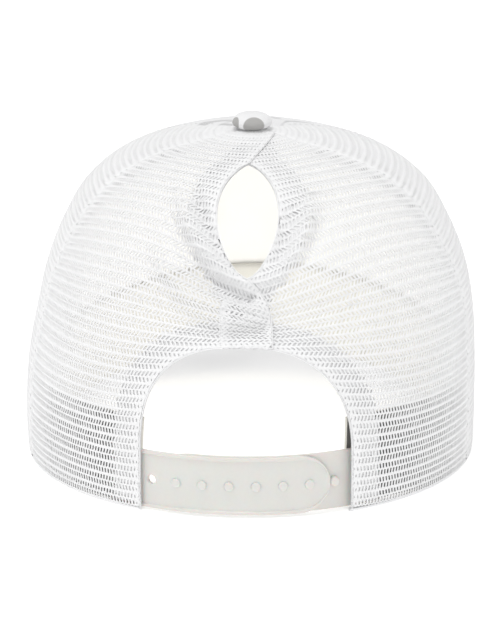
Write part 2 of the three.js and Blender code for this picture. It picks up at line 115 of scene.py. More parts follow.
# Front panel: one padded piece of printed cotton over foam with a smooth pale lining, from seam
# to seam round the front. It was steamed over a block, and its form is that of the whole crown.
# Rows of the form, rim to top: height, side, lean, back, front, side seam and front seam.
CROWN_FORM = np.array([
    (0.0, 0.995, 0.006, 0.995, 0.995, 75.5, 118),
    (0.13, 1.003, 0.007, 1.003, 1.003, 75, 118),
    (0.3, 0.996, 0.0, 0.998, 0.997, 74.5, 118.5),
    (0.46, 0.969, -0.015, 0.972, 0.975, 74, 119),
    (0.6, 0.927, -0.02, 0.912, 0.94, 72.5, 120),
    (0.73, 0.853, -0.019, 0.815, 0.885, 69.5, 121.5),
    (0.84, 0.756, -0.017, 0.69, 0.8, 66.5, 123.5),
    (0.925, 0.588, -0.005, 0.53, 0.65, 65, 125.5),
    (0.98, 0.308, 0.012, 0.29, 0.38, 66, 127),
    (1.0, 0.0, 0.0, 0.0, 0.0, 68, 128),
])
OVER_THE_TOP = (1, -1, 1, -1, -1, 1, 1)
HALF_WIDTH = 0.088
CROWN_REACH = 0.098
CROWN_HEIGHT = 0.126
PEAK_WIDTH = 0.168
PEAK_RISE = 0.013
FRONT_WALL = 0.002
NET_WALL = 0.0012
GAP = 0.0003
BUTTON_HOLE = 0.003
NORMAL_STEP = 0.002
ROUND_STEPS = 24
LEAST_PACE = 0.002
form_rows = np.vstack((
    2 * CROWN_FORM[0] - CROWN_FORM[1],
    CROWN_FORM,
    CROWN_FORM[-2] * OVER_THE_TOP,
))
form_scale = (CROWN_HEIGHT, HALF_WIDTH, HALF_WIDTH, CROWN_REACH, CROWN_REACH,
              math.radians(1), math.radians(1))
front_seam_foot = math.radians(CROWN_FORM[0, 6])
button_low, button_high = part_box("button")
crown_middle = (button_low + button_high) / 2


def crown_section(level):
    """Height, side, lean, back, front and the two seams at levels from 0, the rim, to 1."""
    last = len(CROWN_FORM) - 1
    place = np.clip(level, 0, 1) * last
    index = np.minimum(place.astype(int), last - 1)
    share = (place - index)[:, None]
    a, b, c, d = (form_rows[index + step] for step in range(4))
    bend = (2 * a - 5 * b + 4 * c - d) * share**2 + (3 * b - a - 3 * c + d) * share**3
    return (0.5 * (2 * b + (c - a) * share + bend) * form_scale).T


def crown_point(angle, level):
    """Points on the crown's outside. The angle runs from the centre back to the wearer's left."""
    height, side, lean, back, front, _, _ = crown_section(level)
    reach = np.where(np.cos(angle) >= 0, back, front)
    across = lean + side * np.sin(angle) + crown_middle.x
    return np.stack((across, reach * np.cos(angle) + crown_middle.y, height), axis=1)


def crown_normal(angle, level):
    """The way out of the crown's surface."""
    step = NORMAL_STEP
    level = np.clip(level, 0, 1 - step)
    along = crown_point(angle + step, level) - crown_point(angle - step, level)
    up = crown_point(angle, level + step) - crown_point(angle, np.maximum(level - step, 0))
    normal = np.cross(up, along)
    return normal / np.linalg.norm(normal, axis=1, keepdims=True)


def skin(angle, level, offset):
    """Points a distance outside the crown's surface."""
    return crown_point(angle, level) + crown_normal(angle, level) * np.reshape(offset, (-1, 1))


all_levels = np.linspace(0, 1, 801)
all_heights = crown_section(all_levels)[0]
back_line = crown_point(np.zeros(801), all_levels)
all_climbs = np.append(0, np.cumsum(np.linalg.norm(np.diff(back_line, axis=0), axis=1)))
TOP_LEVEL = float(np.interp(-BUTTON_HOLE, -crown_section(all_levels)[1], all_levels))


def level_at_height(height):
    """The level that is a height above the rim."""
    return np.interp(height, all_heights, all_levels)


def level_at_climb(climb):
    """The level that is a length up the centre back from the rim."""
    return np.interp(climb, all_climbs, all_levels)


def front_rise(x, y):
    """How far the rim rises over the peak, by a place on the rim seen from above."""
    share = 2 * (x - crown_middle.x) / PEAK_WIDTH
    return np.where(y < crown_middle.y, np.maximum(0, PEAK_RISE * (1 - share**2)), 0)


def rim_level(angle):
    """The level of the rim itself, which rises over the peak."""
    foot = crown_point(angle, np.zeros_like(angle))
    return level_at_height(front_rise(foot[:, 0], foot[:, 1]))


def round_length(angle, level, length):
    """The angle that is a length further round the crown at its level."""
    _, side, _, back, front, _, _ = crown_section(level)
    for _ in range(ROUND_STEPS):
        reach = np.where(np.cos(angle) >= 0, back, front)
        pace = np.hypot(side * np.cos(angle), reach * np.sin(angle))
        angle = angle + length / ROUND_STEPS / np.maximum(pace, LEAST_PACE)
    return angle


def sheet_shares(mesh):
    """Shares from 0 to 1 along and up a grid that was made from -1 to 1."""
    flat = np.array([vertex.co for vertex in mesh.verts])
    return flat[:, 0] / 2 + 0.5, flat[:, 1] / 2 + 0.5


def lay_out(mesh, places, flat=None):
    """Moves a mesh's vertices to their places, with the cloth's flat millimetres as its UV map."""
    for vertex, place in zip(mesh.verts, places):
        vertex.co = place
    if flat is not None:
        layer = mesh.loops.layers.uv.new("flat_mm")
        for face in mesh.faces:
            for loop in face.loops:
                loop[layer].uv = flat[loop.vert.index] * 1000


def face_outwards(mesh):
    """Turns every face of an open sheet away from the cap's middle."""
    middle = Vector((crown_middle.x, crown_middle.y, 0.03))
    turned = [face for face in mesh.faces
              if face.normal.dot(face.calc_center_median() - middle) < 0]
    bmesh.ops.reverse_faces(mesh, faces=turned)


def finish_piece(mesh, name, materials, replaced=(), smooth=True):
    """Makes a mesh an object of the cap that rides on the root and takes the finishes it is given.
    """
    data = bpy.data.meshes.new(name)
    mesh.to_mesh(data)
    mesh.free()
    for paint in materials:
        data.materials.append(paint)
    if smooth:
        data.shade_smooth()
    piece = bpy.data.objects.new(name, data)
    bpy.context.scene.collection.objects.link(piece)
    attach(piece, "root")
    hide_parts(*replaced)
    return piece


def thicken(piece, thickness, inside_paint=0):
    """Gives a sheet its wall, grown inwards from the face that shows."""
    wall = piece.modifiers.new("wall", "SOLIDIFY")
    wall.thickness = thickness
    wall.offset = -1
    wall.material_offset = inside_paint
    wall.material_offset_rim = inside_paint
    return wall


def effect_group(name, inputs, outputs):
    """A new shader node group with its group nodes, for effects that several finishes share."""
    group = bpy.data.node_groups.new(name, "ShaderNodeTree")
    for label, kind, value in inputs:
        socket = group.interface.new_socket(label, in_out="INPUT", socket_type=kind)
        if value is not None:
            socket.default_value = value
    for label, kind in outputs:
        group.interface.new_socket(label, in_out="OUTPUT", socket_type=kind)
    return group, group.nodes.new("NodeGroupInput"), group.nodes.new("NodeGroupOutput")


def math_node(tree, operation, first, second=None):
    """A math node on sockets or plain numbers."""
    node = tree.nodes.new("ShaderNodeMath")
    node.operation = operation
    for socket, value in zip(node.inputs, (first, second)):
        if isinstance(value, (int, float)):
            socket.default_value = value
        elif value is not None:
            tree.links.new(value, socket)
    return node.outputs[0]


# Plain weave: threads over and under each other, read from the cloth's own flat millimetres, and
# the hollows between them, where the cloths paint shade.
weave, weave_in, weave_out = effect_group(
    "plain_weave",
    [("Flat", "NodeSocketVector", None), ("Thread", "NodeSocketFloat", 0.4)],
    [("Height", "NodeSocketFloat"), ("HollowShade", "NodeSocketFloat")],
)
weave_split = weave.nodes.new("ShaderNodeSeparateXYZ")
weave.links.new(weave_in.outputs["Flat"], weave_split.inputs[0])
weave_turns = [
    math_node(weave, "DIVIDE", math_node(weave, "MULTIPLY", weave_split.outputs[axis], math.pi),
              weave_in.outputs["Thread"])
    for axis in (0, 1)
]
weave_rounds = [
    math_node(weave, "ABSOLUTE", math_node(weave, "SINE", turn)) for turn in weave_turns
]
weave_swap = math_node(weave, "MULTIPLY", *[
    math_node(weave, "SIGN", math_node(weave, "SINE", turn)) for turn in weave_turns
])
weave_share = math_node(weave, "MULTIPLY_ADD", weave_swap, 0.35)
weave_share.node.inputs[2].default_value = 0.5
weave_mix = weave.nodes.new("ShaderNodeMix")
weave.links.new(weave_share, weave_mix.inputs["Factor"])
weave.links.new(weave_rounds[0], weave_mix.inputs["A"])
weave.links.new(weave_rounds[1], weave_mix.inputs["B"])
weave.links.new(weave_mix.outputs["Result"], weave_out.inputs["Height"])
weave_hollow_shade = math_node(weave, "SUBTRACT", 1.0, math_node(weave, "MAXIMUM", *weave_rounds))
weave.links.new(weave_hollow_shade, weave_out.inputs["HollowShade"])

# Fuzz: the fine unevenness of spun yarn and of a cloth that has been handled.
fuzz, fuzz_in, fuzz_out = effect_group(
    "yarn_fuzz",
    [("Place", "NodeSocketVector", None), ("Fine", "NodeSocketFloat", 2600.0),
     ("Broad", "NodeSocketFloat", 45.0)],
    [("Height", "NodeSocketFloat"), ("Shade", "NodeSocketFloat")],
)
fuzz_fine = fuzz.nodes.new("ShaderNodeTexNoise")
fuzz_broad = fuzz.nodes.new("ShaderNodeTexNoise")
for fuzz_noise, fuzz_size in ((fuzz_fine, "Fine"), (fuzz_broad, "Broad")):
    fuzz.links.new(fuzz_in.outputs["Place"], fuzz_noise.inputs["Vector"])
    fuzz.links.new(fuzz_in.outputs[fuzz_size], fuzz_noise.inputs["Scale"])
    fuzz_noise.inputs["Detail"].default_value = 2
fuzz.links.new(fuzz_fine.outputs["Fac"], fuzz_out.inputs["Height"])
fuzz_sum = math_node(fuzz, "ADD", fuzz_fine.outputs["Fac"], fuzz_broad.outputs["Fac"])
fuzz.links.new(math_node(fuzz, "MULTIPLY", fuzz_sum, 0.5), fuzz_out.inputs["Shade"])

# Blotches: soft uneven patches of a second colour, as a faded camouflage has.
blotch, blotch_in, blotch_out = effect_group(
    "soft_blotches",
    [("Place", "NodeSocketVector", None), ("Size", "NodeSocketFloat", 42.0)],
    [("Mask", "NodeSocketFloat")],
)
blotch_noise = blotch.nodes.new("ShaderNodeTexNoise")
blotch.links.new(blotch_in.outputs["Place"], blotch_noise.inputs["Vector"])
blotch.links.new(blotch_in.outputs["Size"], blotch_noise.inputs["Scale"])
blotch_noise.inputs["Detail"].default_value = 1.5
blotch_noise.inputs["Distortion"].default_value = 0.9
blotch_edge = blotch.nodes.new("ShaderNodeMapRange")
blotch_edge.inputs["From Min"].default_value = 0.525
blotch_edge.inputs["From Max"].default_value = 0.575
blotch.links.new(blotch_noise.outputs["Fac"], blotch_edge.inputs["Value"])
blotch.links.new(blotch_edge.outputs["Result"], blotch_out.inputs["Mask"])


def mix_colour(tree, factor, first, second):
    """A colour mix of sockets or plain colours."""
    node = tree.nodes.new("ShaderNodeMix")
    node.data_type = "RGBA"
    tree.links.new(factor, node.inputs["Factor"])
    for socket, value in zip((node.inputs[6], node.inputs[7]), (first, second)):
        if isinstance(value, tuple):
            socket.default_value = (*value, 1)
        else:
            tree.links.new(value, socket)
    return node.outputs[2]


def placed_group(tree, group, **values):
    """A group in a material, with its inputs set or linked by name."""
    node = tree.nodes.new("ShaderNodeGroup")
    node.node_tree = group
    for label, value in values.items():
        if isinstance(value, (int, float)):
            node.inputs[label].default_value = value
        else:
            tree.links.new(value, node.inputs[label])
    return node


def cloth(name, colour, hollow_shade_colour, thread, roughness=0.85, blotch_colour=None, depth=0.00012):
    """Woven cloth: weave from its flat map with painted shade in its hollows, fuzz from its place,
    and blotches if it is printed.
    """
    paint = bpy.data.materials.new(name)
    paint.use_nodes = True
    tree = paint.node_tree
    shader = tree.nodes["Principled BSDF"]
    coordinates = tree.nodes.new("ShaderNodeTexCoord")
    woven = placed_group(tree, weave, Flat=coordinates.outputs["UV"], Thread=thread)
    fuzzed = placed_group(tree, fuzz, Place=coordinates.outputs["Object"])
    # Painted shade: the hollows between the threads take the darker colour.
    tint = mix_colour(tree, woven.outputs["HollowShade"], colour, hollow_shade_colour)
    if blotch_colour:
        patches = placed_group(tree, blotch, Place=coordinates.outputs["Object"])
        tint = mix_colour(tree, patches.outputs["Mask"], tint, blotch_colour)
    shade = math_node(tree, "MULTIPLY_ADD", fuzzed.outputs["Shade"], 0.16)
    shade.node.inputs[2].default_value = 0.92
    worn = tree.nodes.new("ShaderNodeMix")
    worn.data_type = "RGBA"
    worn.blend_type = "MULTIPLY"
    worn.inputs["Factor"].default_value = 1
    tree.links.new(tint, worn.inputs[6])
    tree.links.new(shade, worn.inputs[7])
    tree.links.new(worn.outputs[2], shader.inputs["Base Color"])
    height = math_node(tree, "ADD", woven.outputs["Height"],
                       math_node(tree, "MULTIPLY", fuzzed.outputs["Height"], 0.6))
    bump = tree.nodes.new("ShaderNodeBump")
    bump.inputs["Distance"].default_value = depth
    bump.inputs["Strength"].default_value = 0.7
    tree.links.new(height, bump.inputs["Height"])
    tree.links.new(bump.outputs["Normal"], shader.inputs["Normal"])
    shader.inputs["Roughness"].default_value = roughness
    shader.inputs["Specular IOR Level"].default_value = 0.25
    shader.inputs["Sheen Weight"].default_value = 0.15
    return paint


printed_cotton = cloth("printed_cotton", (0.86, 0.86, 0.865), (0.7, 0.7, 0.71), 0.42,
                       blotch_colour=(0.6, 0.6, 0.605))
pale_lining = cloth("pale_lining", (0.92, 0.91, 0.885), (0.8, 0.79, 0.75), 0.3, depth=0.00006)

FRONT_SEAM_GAP = 0.00025
FRONT_TURN = 0.0005
FRONT_TURN_WIDTH = 0.0012
FRONT_FOOT_WIDTH = 0.2
FRONT_FLAT_RADIUS = 0.085
FRONT_FLAT_HEIGHT = 0.18

front_mesh = bmesh.new()
bmesh.ops.create_grid(front_mesh, x_segments=64, y_segments=44, size=1)
along, up = sheet_shares(front_mesh)
front_side, front_seam = crown_section(up * TOP_LEVEL)[[1, 6]]
front_seam = front_seam + FRONT_SEAM_GAP / front_side
front_angle = front_seam + (2 * math.pi - 2 * front_seam) * along
front_low = rim_level(front_angle)
front_level = front_low + (TOP_LEVEL - front_low) * up
from_seam = np.minimum(along, 1 - along) * FRONT_FOOT_WIDTH * (1.05 - up)
front_turned = FRONT_TURN * np.exp(-(from_seam / FRONT_TURN_WIDTH) ** 2)
front_places = skin(front_angle, front_level, -front_turned)
front_flat = np.stack(((front_angle - math.pi) * FRONT_FLAT_RADIUS * (1 - up * 0.6),
                       up * FRONT_FLAT_HEIGHT), axis=1)
lay_out(front_mesh, front_places, front_flat)
bmesh.ops.recalc_face_normals(front_mesh, faces=front_mesh.faces)
face_outwards(front_mesh)
front_panel = finish_piece(front_mesh, "front_panel_cloth", [printed_cotton, pale_lining],
                           ["front_panel"])
thicken(front_panel, FRONT_WALL, inside_paint=1)


# Net panels: knitted white polyester net with tall holes in staggered rows. The two at the sides
# run from seam to seam. The two at the back cross below the button and above the arch, where the
# left one lies over the right one, and the crossing pulls folds into both.
HOLE_PITCH = 0.001475
ROW_PITCH = 0.0026
THREAD_MARGIN = 0.00033
THREAD_DEPTH = 0.00042
POINTED = 0.00022
ROW_LEAN = 0.00042
RIDGE = 0.00016
YARN_WANDER = 0.000035
HOLE_SHRINK = {True: 0.76, False: 0.95}
SIDE_NET = (0.09, 0.2)
BACK_NET = (0.17, 0.215)
SIDE_OPEN = 0.85
# How far holes close beside the seams, in the hem's fold and round the button, and over what width
SIDE_SEAM_CLOSES = 0.5
BACK_SEAM_CLOSES = 0.6
EDGE_CLOSES = 0.7
TOP_CLOSES = 0.85
SEAM_CLOSED = 0.0035
EDGE_CLOSED = 0.0024
TOP_CLOSED = 0.0155
TOP_RAISE = 0.0011
EDGE_TUCK = 0.00035
# Rows are stiller beside the rim, the hem and the seams
CALM_LEAST = 0.35
CALM_FOOT = 0.015
CALM_RISE = 0.04
CALM_BESIDE_EDGE = 0.003
CALM_BESIDE_SEAM = 0.004
SAG = 3.6
SAG_FOOT = 0.055
SAG_RISE = 0.07
SEAM_DEPTH = 0.0008
SEAM_REACH = 0.0007
SEAM_HALF = 0.00006
FOLD_SIZE = 0.004
FOLD_STATIONS = 21
FOLD_GROWS_OVER = 7
FOLD_FREE = 0.005
# Folds seen from behind: start, bend and end, each across and up in shares, then push and spread
FOLDS = (
    ((-0.26, 0.93), (-0.29, 0.76), (-0.075, 0.7), 1.0, 0.9),
    ((-0.18, 0.91), (-0.17, 0.74), (-0.08, 0.71), -0.7, 0.9),
    ((-0.33, 0.86), (-0.25, 0.73), (-0.09, 0.67), -0.5, 0.7),
    ((0.36, 0.89), (0.25, 0.7), (-0.01, 0.65), -0.9, 0.8),
    ((0.42, 0.77), (0.25, 0.61), (-0.05, 0.62), 1.25, 0.9),
    ((0.31, 0.94), (0.24, 0.76), (0.0, 0.69), 0.9, 0.8),
    ((0.25, 0.97), (0.2, 0.83), (0.05, 0.72), -0.5, 0.5),
    ((-0.5, 0.63), (-0.28, 0.59), (-0.07, 0.6), -0.7, 1.8),
    ((0.5, 0.66), (0.28, 0.56), (0.06, 0.56), -0.5, 1.6),
)
# The crossing gathers the rows towards it: how far on each side, how far round and up it reaches
GATHER = {1: 0.01, -1: 0.0095}
GATHER_ROUND = {1: 0.035, -1: 0.044}
GATHER_MIDDLE = 0.071
GATHER_UP = 0.029
# Its pull also widens the columns beside it and turns them upright
PULL_UP = 0.03
STRETCH = 0.4
STRETCH_ROUND = 0.028
UPRIGHT_MIDDLE = 0.0545
UPRIGHT_ROUND = 0.04
# The free edge, measured along the back: heights and half widths of the arch and the hole, and
# how square each is on the panel's side
ARCH_HALF = 0.03975
ARCH_POWER = {1: 2.5, -1: 2.2}
STRAP_TOP = 0.0236
ARCH_TOP = 0.066
BRIDGE_TOP = 0.091
HOLE_TOP = 0.15
HOLE_HALF = 0.0116
HOLE_BEND = 0.93
HOLE_FULLNESS = 0.75
EDGE_POINTS = 61
LEG_POINTS = 21
BRIDGE_LAP = 0.02
COVERED_RISE = 0.001
BUTTON_LAP = {1: 0.0115, -1: 0.003}
LAP_LIFT = 0.00046
LAP_FADE = 0.0105
LAP_FLAT_ABOVE = 0.123
LAP_FLATTENS_OVER = 0.008
LAP_LEAST = 0.45


def eased(share):
    """A share from 0 to 1 that starts and ends gently."""
    return share**2 * (3 - 2 * share)


def fold_push(points):
    """How far the folds push the back out at points of it."""
    share_along = np.linspace(0, 1, FOLD_STATIONS)[:, None]
    sum_push = np.zeros(len(points))
    for start, bend, end, push, spread in FOLDS:
        line = ((1 - share_along) ** 2 * start + 2 * share_along * (1 - share_along) * bend
                + share_along**2 * end) * (HALF_WIDTH, CROWN_HEIGHT)
        seen = points[:, [0, 2]] - (crown_middle.x, 0)
        distances = np.linalg.norm(seen[:, None, :] - line[None], axis=2)
        nearest = distances.min(axis=1)
        grown = eased(np.clip(distances.argmin(axis=1) / FOLD_GROWS_OVER, 0, 1))
        sum_push += push * FOLD_SIZE * grown * np.exp(-(nearest / (spread * FOLD_SIZE)) ** 2)
    return sum_push


def lap_lift(side, points):
    """How far a back panel is lifted, or sunk, where the hems of the two cross."""
    own = points[:, 0] - crown_middle.x
    share = np.clip(1 - own / LAP_FADE, 0, 1)
    if side < 0:
        share = share * np.clip(2 + own / LAP_FADE, 0, 1)
    flatter = np.clip((LAP_FLAT_ABOVE - points[:, 2]) / LAP_FLATTENS_OVER, LAP_LEAST, 1)
    return side * LAP_LIFT * eased(share) * flatter


def free_edge(side):
    """The free edge of a back panel: across to its own side, and the climb up the back."""
    share = np.linspace(0, 1, EDGE_POINTS)
    power = ARCH_POWER[side]
    turn = share * (math.pi / 2 + math.asin((BRIDGE_LAP / ARCH_HALF / 2) ** (power / 2)))
    arch = np.stack((
        ARCH_HALF * np.sign(np.cos(turn)) * np.abs(np.cos(turn)) ** (2 / power),
        STRAP_TOP + (ARCH_TOP - STRAP_TOP) * np.sin(turn) ** (2 / power),
    ), axis=1)
    if side < 0:
        arch[:, 1] += COVERED_RISE * np.clip(-arch[:, 0] / (BRIDGE_LAP / 4), 0, 1)
    bridge = np.stack((
        -BRIDGE_LAP / 2 * (1 - share**4),
        arch[-1, 1] + (BRIDGE_TOP - arch[-1, 1]) * share,
    ), axis=1)
    hole = np.stack((
        HOLE_HALF * np.abs(np.sin(math.pi * share**HOLE_BEND)) ** HOLE_FULLNESS,
        BRIDGE_TOP + (HOLE_TOP - BRIDGE_TOP) * share,
    ), axis=1)
    top_climb = np.interp(TOP_LEVEL, all_levels, all_climbs)
    top = np.stack((-BUTTON_LAP[side] * share, HOLE_TOP + (top_climb - HOLE_TOP) * share), axis=1)
    leg = np.stack((np.full(LEG_POINTS, ARCH_HALF), np.linspace(0, STRAP_TOP, LEG_POINTS)), axis=1)
    return np.vstack((leg, arch[1:], bridge[1:], hole[1:], top[1:]))


def beyond_edge(edge, across, climb):
    """How far points lie inside a panel's free edge, below 0 outside, and the nearest places."""
    points = np.stack((across, climb), axis=1)
    best = np.full(len(points), 1.0)
    nearest = points.copy()
    for start, end in zip(edge[:-1], edge[1:]):
        run = end - start
        share = np.clip((points - start) @ run / max(run @ run, 1e-12), 0, 1)
        place = start + share[:, None] * run
        distance = np.linalg.norm(points - place, axis=1)
        closer = distance < best
        best[closer] = distance[closer]
        nearest[closer] = place[closer]
    order = np.argsort(edge[:, 1], kind="stable")
    inside = across > np.interp(climb, edge[order, 1], edge[order, 0])
    return np.where(inside, best, -best), nearest


def row_sag(across, climb):
    """Rows were knitted straight, so on the dome they sag to both sides of the panel's middle."""
    return across**2 * SAG * eased(np.clip((climb - SAG_FOOT) / SAG_RISE, 0, 1))


def gather(side, own, climb):
    """How far the crossing has pulled a row down, or up below it, on a panel's own side."""
    share = (climb - GATHER_MIDDLE) / GATHER_UP
    near = np.exp(-(own / GATHER_ROUND[side]) ** 2)
    return GATHER[side] * near * share * np.exp(0.5 - share**2 / 2)


def lively(climb):
    """How far the rows zigzag and ripple: less where the rim and the sweatband hold them flat."""
    return CALM_LEAST + (1 - CALM_LEAST) * np.clip((climb - CALM_FOOT) / CALM_RISE, 0, 1)


def knit(size, panel, inside, place, shift=(0, 0), lean=1, opening=1.0):
    """A flat net of staggered six-sided holes, cut where inside() is false and laid by place()."""
    width, height = size
    columns = int(width / HOLE_PITCH)
    rows = int(height / ROW_PITCH)
    mesh = bmesh.new()
    bmesh.ops.create_grid(mesh, x_segments=columns * 2, y_segments=rows, size=1)
    half_size = (columns * HOLE_PITCH / 2, rows * ROW_PITCH / 2, 1)
    bmesh.ops.scale(mesh, vec=half_size, verts=mesh.verts)

    def column_of(vertex):
        return round((vertex.co.x / HOLE_PITCH + columns / 2) * 2)

    def row_of(vertex):
        return round(vertex.co.y / ROW_PITCH + rows / 2)

    merged = []
    for edge in mesh.edges:
        first, second = edge.verts
        if column_of(first) == column_of(second) and 0 < column_of(first) < columns * 2:
            if (column_of(first) + min(row_of(first), row_of(second))) % 2:
                merged.append(edge)
    steps = [(column_of(vertex), row_of(vertex)) for vertex in mesh.verts]
    for vertex, (column, row) in zip(mesh.verts, steps):
        vertex.co.y += POINTED if (column + row) % 2 == 0 else -POINTED
        leaning = ROW_LEAN * lively(vertex.co.y + height / 2)
        vertex.co.x += lean * leaning * (1 if row % 2 else -1)
    bmesh.ops.dissolve_edges(mesh, edges=merged, use_verts=False)
    bmesh.ops.translate(mesh, vec=(shift[0], height / 2 + shift[1], 0), verts=mesh.verts)
    mesh.verts.index_update()
    flat = np.array([vertex.co for vertex in mesh.verts])
    kept = inside(flat[:, 0], flat[:, 1])
    outside = [face for face in mesh.faces
               if not any(kept[vertex.index] for vertex in face.verts)]
    bmesh.ops.delete(mesh, geom=outside, context="FACES")
    cells = list(mesh.faces)
    bmesh.ops.inset_individual(mesh, faces=cells, thickness=THREAD_MARGIN, use_even_offset=True)
    centres = np.array([cell.calc_center_median() for cell in cells])
    open_shares = panel.openness(centres[:, 0], centres[:, 1]) * opening
    for cell, centre, open_share in zip(cells, centres, open_shares):
        odd_row = int((centre[1] - shift[1]) / ROW_PITCH) % 2 == 1
        for vertex in cell.verts:
            shrink = HOLE_SHRINK[(vertex.co.y > centre[1]) == odd_row] * open_share
            vertex.co.y = centre[1] + (vertex.co.y - centre[1]) * shrink
            vertex.co.x = centre[0] + (vertex.co.x - centre[0]) * open_share
    bmesh.ops.delete(mesh, geom=cells, context="FACES_ONLY")
    mesh.verts.index_update()
    flat = np.array([vertex.co for vertex in mesh.verts])
    random = np.random.default_rng(7)
    flat[:, :2] += random.normal(0, YARN_WANDER, (len(flat), 2))
    lay_out(mesh, place(flat[:, 0], flat[:, 1]), flat[:, :2])
    bmesh.ops.dissolve_degenerate(mesh, dist=0.00002, edges=mesh.edges)
    bmesh.ops.recalc_face_normals(mesh, faces=mesh.faces)
    face_outwards(mesh)
    return mesh


def net_paint(name, colour):
    """Bright polyester yarn: smooth filament with a faint lustre, thicker here and there."""
    paint = bpy.data.materials.new(name)
    paint.use_nodes = True
    tree = paint.node_tree
    shader = tree.nodes["Principled BSDF"]
    coordinates = tree.nodes.new("ShaderNodeTexCoord")
    fuzzed = placed_group(tree, fuzz, Place=coordinates.outputs["Object"], Fine=3200.0)
    darker = tuple(channel * 0.88 for channel in colour)
    tree.links.new(mix_colour(tree, fuzzed.outputs["Shade"], darker, colour),
                   shader.inputs["Base Color"])
    bump = tree.nodes.new("ShaderNodeBump")
    bump.inputs["Distance"].default_value = 0.00015
    bump.inputs["Strength"].default_value = 0.6
    tree.links.new(fuzzed.outputs["Height"], bump.inputs["Height"])
    tree.links.new(bump.outputs["Normal"], shader.inputs["Normal"])
    shader.inputs["Roughness"].default_value = 0.62
    shader.inputs["Specular IOR Level"].default_value = 0.35
    shader.inputs["Sheen Weight"].default_value = 0.2
    return paint


polyester_net = net_paint("polyester_net", (0.87, 0.87, 0.875))


def seam_dip(near):
    """Cloth turns in to its seam over the last millimetre or two."""
    return SEAM_DEPTH * np.exp(-(near / SEAM_REACH) ** 2)


def top_share(width):
    """How much of the net lies on the panels' turned-in seams, which is all of it at the button."""
    return np.exp(-(width / TOP_CLOSED) ** 4)


class SidePanel:
    """Places on a side net panel by its flat pattern: across from its middle, and up."""

    def __init__(self, side):
        self.side = side

    def at(self, across, climb):
        level = np.minimum(level_at_climb(climb - row_sag(across, climb)), TOP_LEVEL)
        seams = crown_section(level)[5:7]
        return round_length(seams.mean(axis=0), level, across), level

    def inside(self, across, climb):
        angle, level = self.at(across, climb)
        back_seam, front_seam = crown_section(level)[5:7]
        above = level > rim_level(self.side * angle)
        return (angle > back_seam) & (angle < front_seam) & (level < TOP_LEVEL) & above

    def openness(self, across, climb):
        """How open the holes are: next to the seams the cloth below closes them."""
        angle, level = self.at(across, climb)
        width, back_seam, front_seam = crown_section(level)[[1, 5, 6]]
        near = np.maximum(np.minimum(angle - back_seam, front_seam - angle) * width, 0)
        beside_seam = SIDE_SEAM_CLOSES * np.exp(-(near / SEAM_CLOSED) ** 2)
        return (SIDE_OPEN - beside_seam) * (1 - TOP_CLOSES * top_share(width))

    def place(self, across, climb):
        angle, level = self.at(across, climb)
        width, back_seam, front_seam = crown_section(level)[[1, 5, 6]]
        gap = SEAM_HALF / width
        angle = np.clip(angle, back_seam + gap, front_seam - gap)
        level = np.clip(level, rim_level(self.side * angle), TOP_LEVEL)
        near = np.minimum(angle - back_seam, front_seam - angle) * width
        return skin(self.side * angle, level, TOP_RAISE * top_share(width) - seam_dip(near))


